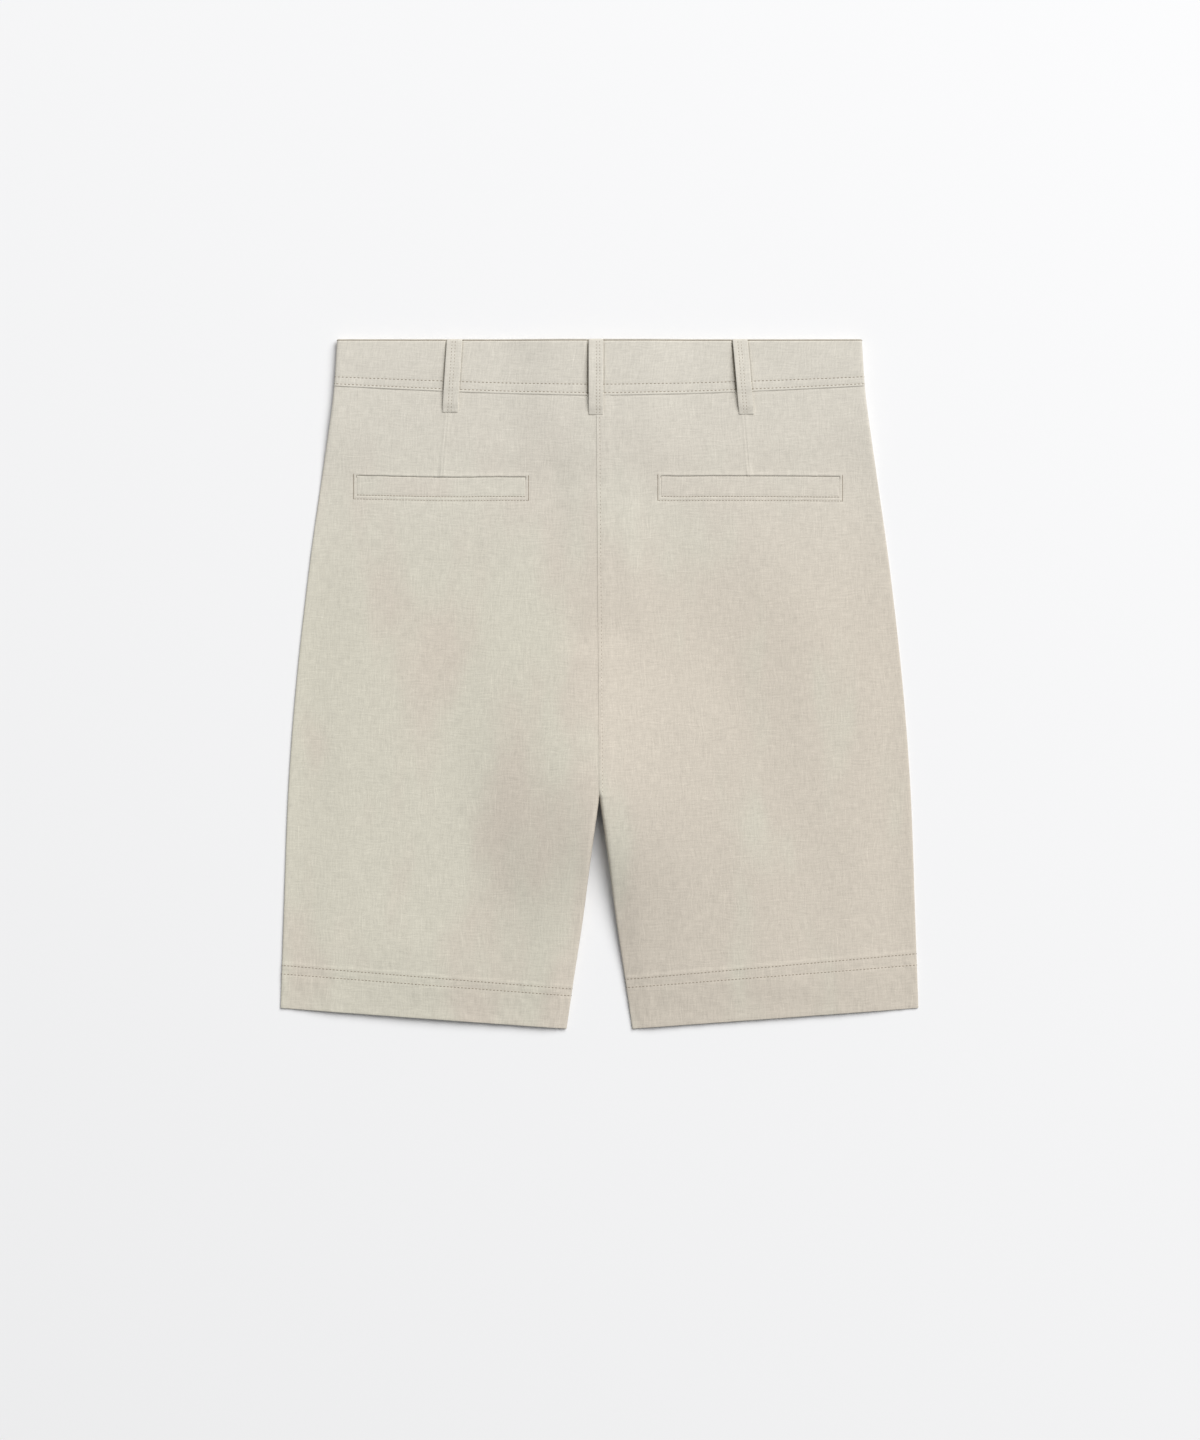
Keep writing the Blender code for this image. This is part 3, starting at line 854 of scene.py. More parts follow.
def frontPlaces(side, inner, outer):
    foldIn, foldOut = innerFold(inner), through(sideFold, outer)
    if inner >= shorts["crotchDown"]:
        under, gap = inseam(inner)
        start = foldIn + fromFold(under + gap / 2)[0]
    else:
        lap = -fly["lap"] if side < 0 else fly["under"]
        start = lerp(shorts["seamGap"] / 2, lap, ease(fly["end"] + fly["turn"], fly["end"], inner))
    end = foldOut - fromFold(shorts["seamUnder"] + shorts["seamGap"])[0]
    places = []
    for first, last, cells in ((start, start + 12, 8), (start + 12, end - 8, 52), (end - 8, end, 4)):
        for i in range(cells):
            across = lerp(first, last, i / cells)
            places.append((across, roll(across - foldIn) * roll(foldOut - across), False))
    places.append((end, roll(foldOut - end), False))
    return places, {}


panelLook = {
    "backCut": (0.262, 0.515, 0.1215),
    "frontCut": (0.235, 0.515, 0.1060),
    # where each panel lies on the uncut cloth, the left one and the right one
    "backAt": {-1: (0, 0), 1: (523, 211)},
    "frontAt": {-1: (1180, 77), 1: (1730, 431)},
    "offGrain": 0.03,
    "pastFold": 9,
    "hemSteps": 6,
}


def panelGrid(side, fine):
    grid, weave, rowNames = [], [], {}
    offGrain = panelLook["offGrain"]
    for name, inner, outer in rowsOf(side, fine):
        places, columnNames = (backPlaces if fine else frontPlaces)(side, inner, outer)
        foldIn, foldOut = max(innerFold(inner), 0.0), through(sideFold, outer)
        if name:
            rowNames[name] = len(grid)
        curve = lerp(band["curve"], 1.0, ease(*band["curveFades"], inner))
        sagStart, sagEnd = pocket["sagFades"]
        sagging = ease(*sagStart, inner) * ease(*sagEnd, inner)
        row, line = [], []
        for across, rise, upper in places:
            part = max(across - foldIn, 0.0) / (foldOut - foldIn)
            down = lerp(inner, outer, part**curve) + weltSag(side, across) * sagging
            if not upper:
                down += frontDip(across, down)
            x = side * across
            if upper:
                height, otherSide = clothTop(side, across, down, part, foldOut), plainFloor
            else:
                height, otherSide = clothFloor(side, across, down), plainTop
            if rise < 1:  # the two sides meet halfway at a fold
                height = lerp((height + otherSide(x, down)) / 2, height, rise)
            row.append(Vector((x, down, height)))
            # the cloth runs on round the folds
            turned = 0.0
            if fine and not upper:
                turned = panelLook["pastFold"] * (-1 if across > (foldIn + foldOut) / 2 else 1)
            line.append((across - turned - offGrain * down, down + offGrain * across))
        grid.append(row)
        weave.append(line)
    return grid, weave, rowNames, columnNames


def turnHem(grid, weave, rowNames, outward):
    # the hem: the cloth turns in over a round edge and runs back up inside to its stitches
    normals = normalsOf(grid, outward)
    radius = hem["turn"]
    last = len(grid) - 1
    edge, before, away = grid[last], grid[last - 1], normals[last]
    for angle in halfTurn(panelLook["hemSteps"])[1:]:
        row = []
        for i, point in enumerate(edge):
            onward = (point - before[i]).normalized()
            row.append(point - away[i] * radius * (1 - math.cos(angle)) + onward * radius * math.sin(angle))
        grid.append(row)
        weave.append([(u, v + radius * angle) for u, v in weave[last]])
    for j in range(last - 1, rowNames["turnUp"], -1):
        grid.append([point - normals[j][i] * 2 * radius for i, point in enumerate(grid[j])])
        weave.append([(u + 0.4, 2 * weave[last][i][1] - v + 2) for i, (u, v) in enumerate(weave[j])])
    return normals


panels = {}
for side, word in words.items():
    for layer in ("front", "back"):
        fine = layer == "back"
        grid, weave, rowNames, columnNames = panelGrid(side, fine)
        normals = turnHem(grid, weave, rowNames, 1 if fine else -1)
        shiftU, shiftV = panelLook[layer + "At"][side]
        weave = [[(side * u + shiftU, v + shiftV) for u, v in line] for line in weave]
        bm = gridMesh(grid, weave, side > 0 if fine else side < 0)
        piece = addPiece(f"{layer}Panel{word}", bm, linen, "linen", f"{layer}_{word.lower()}")
        giveWall(piece, shorts["cloth"])
        width, length, area = panelLook[layer + "Cut"]
        panels[(layer, side)] = (grid, normals, rowNames, columnNames)
    print("shorts: panels cut for the", word.lower(), "leg")


stitchLook = {"length": 1.9, "radius": 0.28, "sides": 6, "dip": 1.15, "cuts": 3}
# how far apart the stitches of a row are, and how high the thread lies over the cloth
stitchRows = {
    "hem": (2.7, 0.035),
    "seam": (3.0, -0.14),
    "pocket": (2.3, -0.04),
    "pocketEnd": (1.1, 0.06),
    "welt": (2.3, -0.04),
    "waist": (3.0, 0.06),
    "waistEdge": (1.5, 0.06),
    "loop": (2.4, -0.08),
    "button": (1.3, 0.1),
    "buttonhole": (1.1, 0.02),
    "fly": (3.0, 0.06),
}


def stitchTemplate():
    # one stitch: a short round thread that dips into the cloth at both ends
    bm = bmesh.new()
    radius, half = stitchLook["radius"], stitchLook["length"] / 2
    bmesh.ops.create_cone(
        bm, cap_ends=True, segments=stitchLook["sides"], radius1=radius, radius2=radius, depth=2 * half,
        matrix=Matrix.Rotation(math.pi / 2, 4, "Y"),
    )
    long = [edge for edge in bm.edges if abs(edge.verts[0].co.x - edge.verts[1].co.x) > half]
    bmesh.ops.subdivide_edges(bm, edges=long, cuts=stitchLook["cuts"])
    for vert in bm.verts:
        part = abs(vert.co.x) / half
        vert.co.z -= stitchLook["dip"] * radius * part**3
        if part > 0.9:
            vert.co.y *= 0.55
    return meshOf(bm, "stitch")


stitchMesh = stitchTemplate()


def spread(points, normals, pitch):
    # evenly spaced places along a line, each with its direction and its normal
    total = [0.0]
    for a, b in zip(points, points[1:]):
        total.append(total[-1] + (b - a).length)
    count = max(int(total[-1] / pitch), 1)
    placed = []
    i = 0
    for k in range(count):
        want = (k + 0.5) * total[-1] / count
        while i < len(points) - 2 and total[i + 1] < want:
            i += 1
        t = (want - total[i]) / max(total[i + 1] - total[i], 1e-6)
        direction = (points[i + 1] - points[i]).normalized()
        placed.append((points[i].lerp(points[i + 1], t), direction, normals[i].lerp(normals[i + 1], t)))
    return placed


def sewPiece(name, rows):
    # rows of stitches as one piece: each row has a kind, and points on the cloth with their normals
    bm = bmesh.new()
    for kind, points, normals in rows:
        pitch, lift = stitchRows[kind]
        for point, direction, normal in spread(points, normals, pitch):
            ahead = Vector((direction.x, -direction.y, direction.z))
            up = Vector((normal.x, -normal.y, normal.z))
            up = (up - ahead * up.dot(ahead)).normalized()
            turn = Matrix((ahead, up.cross(ahead), up)).transposed().to_4x4()
            stamp(bm, stitchMesh, Matrix.Translation(place(point + normal * lift)) @ turn @ toMetres)
    addPiece(name, bm, thread, "thread")


def alongRow(panel, name, first=0, last=None):
    grid, normals, rowNames = panels[panel][:3]
    j = rowNames[name]
    return grid[j][first:last], normals[j][first:last]


def alongColumn(panel, column, first, last):
    grid, normals = panels[panel][:2]
    return [row[column] for row in grid[first:last]], [row[column] for row in normals[first:last]]


def hemStitches():
    for side in words:
        for layer in ("back", "front"):
            for row in ("upperStitch", "lowerStitch"):
                yield "hem", *alongRow((layer, side), row)


def seamStitches():
    rowNames = panels[("back", 1)][2]
    column = seamOffsets.index(centreSeam["stitch"])
    yield "seam", *alongColumn(("back", 1), column, rowNames["waist"], rowNames["crotch"] - 2)


def pocketStitches():
    for side in words:
        panel = ("back", side)
        rowNames, columnNames = panels[panel][2:]
        first, last = columnNames["inner frame"], columnNames["outer frame"]
        yield "pocket", *alongRow(panel, "frame", first, last + 1)
        for column in (first, last):
            # close stitches bar the pocket's ends
            yield "pocketEnd", *alongColumn(panel, column, rowNames["lipEdge"], rowNames["frame"] + 1)


sewPiece("hemStitching", hemStitches())
sewPiece("seamStitching", seamStitches())
sewPiece("pocketStitching", pocketStitches())
print("shorts: hems, seams and pockets stitched")


weltLook = {
    "wall": 0.605,
    "fullness": 0.12,
    "sunk": 0.05,
    "crown": 0.2,
    "edge": 0.22,
    "mouth": 0.75,
    "mouthWaver": 0.3,
    "groove": 0.16,
    "stitch": 0.7,  # up from its lower edge
}


def weltStrip(side):
    # a folded strip in the pocket's recess: rounded long edges and ends, a little fuller in the middle
    welt, look = welts[side], weltLook
    gap = pocket["gap"]
    first, last = welt["inner"] + gap, welt["outer"] - gap
    ends = (0, 0.25, 0.7, 1.5)
    columns = [first + step for step in ends] + [lerp(first + 2.6, last - 2.6, i / 60) for i in range(61)]
    columns += [last - step for step in reversed(ends)]
    depth = welt["depth"] - pocket["gapBelow"]
    stitched = depth - look["stitch"]
    downs = [0.12, 0.3, 0.65, 1.3] + [lerp(2.3, depth - 1.4, i / 7) for i in range(8)]
    downs += [stitched, depth - 0.3, depth]
    grid, weave = [], []
    for t in downs:
        row, line = [], []
        for across in columns:
            down = weltDown(side, across) + t
            x = side * across
            edge = min(across - first, last - across, t, depth - t)
            height = plainTop(x, down) + creased(x, down) + softWaves(x, down)
            height += look["fullness"] * ripple(x * 0.6, down, 9, 12) - look["sunk"]
            height += look["crown"] * roll(min(edge, 2.5) * 1.8) - look["edge"] * (1 - roll(edge * 7))
            mouth = look["mouth"] + look["mouthWaver"] * ripple(x, 0, 12, 17)
            height -= mouth * (1 - roll(t * 4.4)) + look["groove"] * dent(depth - t - look["stitch"], 0.35)
            row.append(Vector((x, down, height)))
            line.append((side * across + 2100 + side * 300, down + 700))
        grid.append(row)
        weave.append(line)
    node = "pocket_welt_" + words[side].lower()
    piece = addPiece(pieceName(node), gridMesh(grid, weave, side > 0), linen, "linen", node)
    giveWall(piece, look["wall"])
    size = ((last - first) * mm, depth * mm)
    return grid[downs.index(stitched)]


weltLines = [weltStrip(side) for side in words]
sewPiece("weltStitching", [("welt", line, [Vector((0, 0, 1))] * len(line)) for line in weltLines])
print("shorts: welts set")


# top and bottom are the places across there, down is the lower end, and lift is of the left edge
loopColumns = ("node", "top", "bottom", "down", "width", "arch", "lift", "stitches")
beltLoops = [dict(zip(loopColumns, row)) for row in (
    ("belt_loop_back_left", -110.3, -113.9, 55.9, 11.8, 0.6, 0.5, (-1.7, 0.8)),
    ("belt_loop_back_centre", -2.7, -2.7, 57.9, 11.2, 0.9, 1.1, (0.3, 2.9)),
    ("belt_loop_back_right", 107.0, 112.0, 57.4, 11.4, 1.0, 1.3, (-1.9, 0.6)),
    ("belt_loop_front_left", -104.0, -105.0, 56.0, 11.4, 0.0, 0.0, (-1.3, 1.3)),
    ("belt_loop_front_right", 104.0, 105.0, 56.0, 11.4, 0.0, 0.0, (-1.3, 1.3)),
)]
backLoops = [loop for loop in beltLoops if "back" in loop["node"]]
press = {"left": 2.6, "leftWidth": 0.6, "right": 0.6, "rightWidth": 0.45}


def loopEdge(loop, down):
    # the left edge of a back loop
    return lerp(loop["top"], loop["bottom"], down / loop["down"]) - loop["width"] / 2


def pressed(x, down):
    # the band is pushed in along the back loops, most of all at their left edges
    depth = 0.0
    for loop in backLoops:
        beside = x - loopEdge(loop, down)
        depth += press["left"] * loop["lift"] * dent(beside + 0.25, press["leftWidth"])
        depth += press["right"] * dent(beside - loop["width"] - 0.1, press["rightWidth"])
    return depth


def backColumns(flat):
    # places across the back of the band, close together beside the loops
    edges = []
    for loop in backLoops:
        ends = loopEdge(loop, 0), loopEdge(loop, loop["down"])
        edges.append((min(ends) - 4.4, max(ends) + 1.6))
        edges.append((min(ends) + loop["width"] - 1.6, max(ends) + loop["width"] + 1.8))
    places, x = [], -flat
    while x < flat - 0.3:
        places.append(x)
        x += 0.45 if any(first < x < last for first, last in edges) else 2.6
    return places


backFlat = sideFold[0][1] - shorts["foldReach"]
backLine = backColumns(backFlat)
bandCells = {"front": 84, "fold": 12, "keepsPlace": 130}


def bandPlaces(fraction):
    # from the lap round the back to the underlap: across, how far up a side fold it has come,
    # whether it is on top, and whether it may be underlap
    foldOut = through(sideFold, band["depthSide"] * max(fraction, 0.0))
    arc = shorts["foldReach"] * math.pi / 2
    flat = foldOut - shorts["foldReach"]
    front, fold = bandCells["front"], bandCells["fold"]
    places = [(lerp(band["lap"], -flat, i / front), 1.0, False, False) for i in range(front)]
    left = roundFold(-foldOut, 1, arc, -arc, fold, fold)
    places += [(across, rise, along < 0, False) for across, rise, along in left]
    wide = flat / backFlat
    places += [(x if abs(x) < bandCells["keepsPlace"] else x * wide, 1.0, True, False) for x in backLine]
    right = roundFold(foldOut, -1, arc, -arc, fold, fold)
    places += [(across, rise, along > 0, True) for across, rise, along in right]
    places += [(lerp(flat, -band["underlap"], i / front), 1.0, False, True) for i in range(front + 1)]
    return places


# grooves along the band: distance up from its lower edge, depth, width
bandGrooves = [
    (band["edgeStitch"], 0.14, 0.55),
    (band["topStitch"], 0.12, 0.6),
    (band["depthCentre"] - band["rim"], 0.8, 0.45),
    (0.9, -0.12, 1.1),
]
# soft waves along the back of the band: across, width, height
bandWaves = [(-150, 60, 0.5), (-64, 46, -0.4), (58, 60, 0.45), (128, 34, -0.55), (168, 40, 0.5)]


def bandShape(x, t, upper):
    # t is the distance up from the band's lower edge, at its centre depth
    shape = -sum(depth * dent(t - at, width) for at, depth, width in bandGrooves)
    if upper:
        shape += 0.30 * ripple(x, t, 46, 21) + 0.14 * ripple(x, t * 1.6, 17, 22)
        shape += 0.07 * ripple(x, t * 0.5, 5, 23) * ease(12, 8, t)
        for across, width, size in bandWaves:
            shape += size * dent(x - across, width / 2) * dent(t - 24, 16)
        shape -= pressed(x, bandDepth(x) * (1 - t / band["depthCentre"])) * ease(0.4, 2.0, t)
    return shape


def bandRow(t, detail=True):
    fraction = 1 - t / band["depthCentre"]
    row = []
    for x, rise, upper, under in bandPlaces(fraction):
        down = bandDepth(x) * fraction + (0.0 if upper else frontDip(x))
        low = bandFloor(x) + band["underlapRise"] * ease(*band["underlapFades"], x) * under
        middle = (bandHeight(x) + bandFloor(x)) / 2
        shape = bandShape(x, t, upper) * rise if detail else 0.0
        height = lerp(middle, bandHeight(x) if upper else low, rise) + (shape if upper else -shape)
        row.append(Vector((x, down, height)))
    return row


def bandNormals(t):
    above, below = bandRow(t + 0.5, False), bandRow(t - 0.5, False)
    normals = []
    for i in range(len(above)):
        beside = above[min(i + 1, len(above) - 1)] - above[max(i - 1, 0)]
        normals.append(beside.cross(above[i] - below[i]).normalized())
    onBack = normals[len(normals) // 2]
    return normals if onBack.z > 0 else [-normal for normal in normals]


def bandSection():
    # round the band's section: distance up from its lower edge, and distance in from its outer face
    radius, full = band["thick"] / 2, band["depthCentre"]
    rim = full - band["rim"]
    up = [radius, 1.2, 1.8, band["edgeStitch"], 3.0, 4.2, 5.6, 7.0, 8.1, band["topStitch"], 9.5, 11]
    up += [lerp(13, full - 4, i / 11) for i in range(12)]
    up += [full - 2.6, full - 2.1, full - 1.7, rim, full - 1.0]
    section = [(t, 0.0) for t in up]
    turn = [(radius * math.sin(angle), radius * (1 - math.cos(angle))) for angle in halfTurn(6)]
    section += [(full - radius + out, inward) for out, inward in turn]
    section += [(lerp(full - radius, radius, i / 10), 2 * radius) for i in range(1, 11)]
    return section + [(radius - out, inward) for out, inward in reversed(turn[:-1])]


def buildBand():
    # gives back its rows of stitches
    grid, weave, stitched = [], [], []
    kinds = {band["edgeStitch"]: "waist", band["topStitch"]: "waist"}
    kinds[band["depthCentre"] - band["rim"]] = "waistEdge"
    section = bandSection()
    run = 0.0
    for k, (t, inward) in enumerate(section):
        row, normals = bandRow(t), bandNormals(t)
        along = [0.0]
        for a, b in zip(row, row[1:]):
            along.append(along[-1] + (b - a).length)
        if k:
            run += math.hypot(t - section[k - 1][0], inward - section[k - 1][1])
        grid.append([point - normal * inward for point, normal in zip(row, normals)])
        weave.append([(a + 2900, 0.012 * abs(point.x) - run + 900) for a, point in zip(along, row)])
        if inward == 0.0 and t in kinds:
            stitched.append((kinds[t], grid[-1], normals))
    bm = gridMesh(grid, weave, True)
    closeTube(bm, 0.00001)
    piece = addPiece("waistBand", bm, linen, "linen", "waistband")
    return stitched


sewPiece("waistStitching", buildBand())
print("shorts: waistband closed")


loopLook = {
    "thick": 0.7,
    "topDown": 0.9,
    "tuck": 7.0,
    "turn": 0.4,
    "turnBelow": 0.3,  # share of the turn that the lower fold stands out
    "pressed": 0.42,
    "sunk": 0.22,
    "frontHeight": 0.62,
    "groove": 0.06,
    "waver": 0.12,
}


def loopPath(loop):
    # down, height of the strap's middle, direction angle, share of the arch
    bottomDown, look = loop["down"], loopLook
    radius, half = look["turn"], look["thick"] / 2

    def ground(down):
        x = lerp(loop["top"], loop["bottom"], down / bottomDown)
        return lerp(bandHeight(x), plainTop(x, down), ease(-4, 4, down - bandDepth(x))) + 0.1

    if loop not in backLoops:
        downs = [lerp(look["topDown"], bottomDown, i / 18) + frontDip(loop["top"]) for i in range(19)]
        return [(down, look["frontHeight"], math.pi, 0.0) for down in downs]
    top, bottom = look["topDown"] + radius, bottomDown - look["turnBelow"] * radius - half
    rise = radius * 2 + half
    path = []
    for i in range(4):
        down = lerp(top + look["tuck"] * 0.5, top, i / 4)
        path.append((down, ground(down) + half, math.pi, 0.0))
    for angle in halfTurn(6):
        height = ground(top) + half + radius * (1 - math.cos(angle))
        path.append((top - radius * math.sin(angle), height, math.pi - angle, 0.0))
    for i in range(1, 30):
        down = lerp(top, bottom, i / 30)
        bow = math.sin(math.pi * (i / 30) ** 0.85) ** 1.2
        near = ease(6.0, 1.0, bottom - down)
        height = ground(down) + rise * lerp(1.0, look["pressed"], near) - look["sunk"] * near
        path.append((down, height + loop["arch"] * bow, 0.0, bow))
    for angle in halfTurn(6):
        height = ground(bottom) + (rise - radius * (1 - math.cos(angle))) * look["pressed"] - look["sunk"]
        path.append((bottom + look["turnBelow"] * radius * math.sin(angle), height, -angle, 0.0))
    for i in range(1, 5):
        down = lerp(bottom, bottom - look["tuck"], i / 4)
        height = ground(down) + (rise - 2 * radius) * look["pressed"] - look["sunk"]
        path.append((down, height, -math.pi, 0.0))
    return path


def strapSection(width, thick, stitches):
    # a flat strap with round long edges; the stitches draw two lines into its outer face
    half, corner = width / 2, thick / 2
    side = half - corner
    turns = [(corner * math.cos(angle), corner * math.sin(angle)) for angle in halfTurn(6)]
    ring = [(side + up, -across) for across, up in turns]
    face = [(half - 1.3, 0.05)]
    for middle in sorted(stitches, reverse=True):
        face += [(middle + 0.55, 0.0), (middle, -loopLook["groove"]), (middle - 0.55, 0.0)]
    ring += [(across, corner + raised) for across, raised in face + [(-half + 1.3, 0.05)]]
    ring += [(-side - up, across) for across, up in turns]
    return ring + [(-half * 0.4, -corner), (half * 0.4, -corner)]


def buildLoop(number, loop):
    # gives back its two rows of stitches
    width, stitches, behind = loop["width"], loop["stitches"], loop in backLoops
    ring = strapSection(width, loopLook["thick"], stitches)
    ring.append(ring[0])
    path = loopPath(loop)
    grid, weave, lines = [], [], [[] for row in stitches]
    run = 0.0
    for k, (down, height, angle, bow) in enumerate(path):
        x = lerp(loop["top"], loop["bottom"], min(max(down / loop["down"], 0), 1))
        outDown, outUp = (-math.sin(angle), math.cos(angle)) if behind else (0.0, -1.0)
        if k:
            run += math.hypot(down - path[k - 1][0], height - path[k - 1][1])

        def tilt(sideways):
            return loop["lift"] * bow * (0.5 - sideways / width)

        line, flat = [], []
        around = 0.0
        for i, (sideways, out) in enumerate(ring):
            raised = tilt(sideways)
            if not behind:
                sideways = -sideways
            raised += loopLook["waver"] * ripple(sideways * 0.5, down, 9, 30 + number) * bow
            line.append(Vector((x + sideways, down + outDown * out, height + outUp * out + raised)))
            if i:
                around += math.dist(ring[i], ring[i - 1])
            flat.append((around + 3900 + number * 60, run + 300))
        grid.append(line)
        weave.append(flat)
        if not behind or angle == 0.0:
            out = outUp * (loopLook["thick"] / 2 - 0.1)
            for line, sideways in zip(lines, stitches):
                line.append(Vector((x + sideways, down, height + out + tilt(sideways))))
    bm = gridMesh(grid, weave, False)
    closeTube(bm, 0.000004)
    bmesh.ops.recalc_face_normals(bm, faces=bm.faces)
    piece = addPiece(pieceName(loop["node"]), bm, linen, "linen", loop["node"])
    (width + 1) * mm
    outward = Vector((0, 0, 1 if behind else -1))
    return [("loop", line, [outward] * len(line)) for line in lines]


loopLines = []
for number, loop in enumerate(beltLoops):
    loopLines += buildLoop(number, loop)
sewPiece("loopStitching", loopLines)
print("shorts: belt loops sewn on")


bag = {"corner": 26.0, "below": 1.75, "seam": 4, "groove": 0.18, "wall": 0.6}


def buildBag(side):
    # the pocket bag: a flat pouch of thin cotton inside the leg, its lower corners rounded
    node = "pocket_bag_" + words[side].lower()
    low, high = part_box(node)
    left, right = low.x / mm, high.x / mm
    top, bottom = (topEdge - high.y) / mm, (topEdge - low.y) / mm
    corner = bag["corner"]
    grid, weave = [], []
    for j in range(41):
        row, line = [], []
        down = lerp(top, bottom, j / 40)
        past = min(max(down - (bottom - corner), 0.0), corner)
        inset = corner - math.sqrt(corner**2 - past**2)
        for i in range(49):
            x = lerp(left + inset, right - inset, i / 48)
            beside = min(x - left - inset, right - inset - x, bottom - down)
            groove = bag["groove"] * dent(beside - bag["seam"], 1.2)
            height = plainTop(x, down) - bag["below"] + 0.08 * ripple(x, down, 14, 40) - groove
            row.append(Vector((x, down, height)))
            line.append((x, down))
        grid.append(row)
        weave.append(line)
    piece = addPiece(pieceName(node), gridMesh(grid, weave, True), pocketing, "pocketing", node)
    giveWall(piece, bag["wall"])


for side in words:
    buildBag(side)
print("shorts: pocket bags inside")


zipLook = {
    "top": 52.5,
    "bottom": 203.0,
    "half": 12.0,
    "rise": 2.5,
    "wall": 0.6,
    "cord": 3.2,
    "pitch": 1.45,
    "tooth": (2.6, 0.95, 0.9),
    "toothAcross": 0.85,
    "firstTooth": 7,
}


def tapeHeight(x, down):
    # the tape is fuller where a cord runs beside the coil
    edge = 0.25 * dent(abs(x) - zipLook["cord"], 0.7) - 0.3 * dent(x, 0.5)
    return plainFloor(0, down) + zipLook["rise"] + 0.04 * ripple(x, down, 6, 50) - edge


def buildTape():
    top, bottom, half = zipLook["top"], zipLook["bottom"], zipLook["half"]
    xs = [lerp(-half, half, i / 60) for i in range(61)]
    weave = [[(x, lerp(top, bottom, j / 100)) for x in xs] for j in range(101)]
    grid = [[Vector((x, down, tapeHeight(x, down))) for x, down in row] for row in weave]
    piece = addPiece("zipTape", gridMesh(grid, weave, False), tapeCloth, "zip_tape", "zip_tape")
    giveWall(piece, zipLook["wall"])


def buildTeeth():
    # the coil: small round-cornered teeth from both tapes meet in turn
    tooth = bmesh.new()
    bmesh.ops.create_cube(tooth, size=1)
    bmesh.ops.scale(tooth, vec=zipLook["tooth"], verts=tooth.verts)
    bmesh.ops.bevel(tooth, geom=tooth.edges, offset=0.22, segments=2, affect="EDGES", profile=0.5)
    mesh = meshOf(tooth, "tooth")
    bm = bmesh.new()
    for i in range(2 * int((zipLook["bottom"] - zipLook["top"] - 8) / zipLook["pitch"])):
        down = zipLook["top"] + zipLook["firstTooth"] + i * zipLook["pitch"] / 2
        across = zipLook["toothAcross"] * (1 if i % 2 else -1)
        stamp(bm, mesh, Matrix.Translation(place((across, down, tapeHeight(0, down) - 0.35))) @ toMetres)
    addPiece("zipTeeth", bm, coil, "zip_tape")


def plate(outer, inner, low, high):
    # a plate between two outlines with as many points, its edges taken off
    bm = bmesh.new()
    loops = []
    for line, z in ((outer, low), (outer, high), (inner, high), (inner, low)):
        loops.append([bm.verts.new((x, y, z)) for x, y in line])
    for a, b in zip(loops, loops[1:] + loops[:1]):
        for i in range(len(a)):
            j = (i + 1) % len(a)
            bm.faces.new((a[i], a[j], b[j], b[i]))
    bmesh.ops.recalc_face_normals(bm, faces=bm.faces)
    sharp = [edge for edge in bm.edges if edge.calc_face_angle() > 0.7]
    bmesh.ops.bevel(bm, geom=sharp, offset=0.14, segments=2, affect="EDGES", profile=0.5)
    return bm


def outline(halfWide, halfLong, square, taper=0.0, count=40):
    # a closed outline: a stretched circle with fuller corners, narrower towards one end
    points = []
    for i in range(count):
        angle = 2 * math.pi * i / count
        across, along = math.cos(angle), math.sin(angle)
        across = math.copysign(abs(across) ** square, across)
        along = math.copysign(abs(along) ** square, along)
        points.append((across * halfWide * (1 + taper * along), along * halfLong))
    return points


def finishMetal(node, bm, where):
    bmesh.ops.transform(bm, matrix=where @ toMetres, verts=bm.verts)
    addPiece(pieceName(node), bm, brass, "zip_metal", node)


slider = {
    "down": 59.5,
    "rise": 2.2,
    "outline": (3.1, 4.5, 0.7, 0.14),
    "hole": (0.4, 0.5, 1.0),
    "plates": ((-0.75, -0.3), (0.3, 0.75)),
    "post": {"segments": 24, "radius1": 0.75, "radius2": 0.75, "depth": 1.3},
    "postUp": 2.9,
    "links": 12,
    "link": {"segments": 16, "radius1": 0.62, "radius2": 0.62, "depth": 0.8},
    "linkShape": (1.3, 0.45, 1.0, 1.0),
    "bridge": (2.6, 0.65, 0.72),  # half its length, its height, how far under the middle it starts
}


def buildSlider():
    # two plates round the coil, joined at the nose, and a bridge that holds the pull
    bm = bmesh.new()
    for low, high in slider["plates"]:
        half = plate(outline(*slider["outline"]), outline(*slider["hole"]), low, high)
        bm.from_mesh(meshOf(half, "plate"))
    nose = Matrix.Translation((0, slider["postUp"], 0))
    bmesh.ops.create_cone(bm, cap_ends=True, matrix=nose, **slider["post"])
    length, height, under = slider["bridge"]
    for angle in halfTurn(slider["links"]):
        # the bridge, as a bent strap of short overlapping links
        middle = Matrix.Translation((0, length * math.cos(angle), -under - height * math.sin(angle)))
        turn = Matrix.Rotation(angle + math.pi / 2, 4, "X")
        link = middle @ turn @ Matrix.Diagonal(slider["linkShape"])
        bmesh.ops.create_cone(bm, cap_ends=True, matrix=link, **slider["link"])
    height = plainFloor(0, slider["down"]) + slider["rise"]
    finishMetal("zip_slider", bm, Matrix.Translation(place((0, slider["down"], height))))


pull = {
    "top": 64.3,
    "long": 17.0,
    "half": 2.3,
    "square": 0.55,
    "taper": -0.12,
    "eye": 1.0,
    "eyeIn": 2.4,
    "wall": 0.4,
    "rise": 1.35,
}


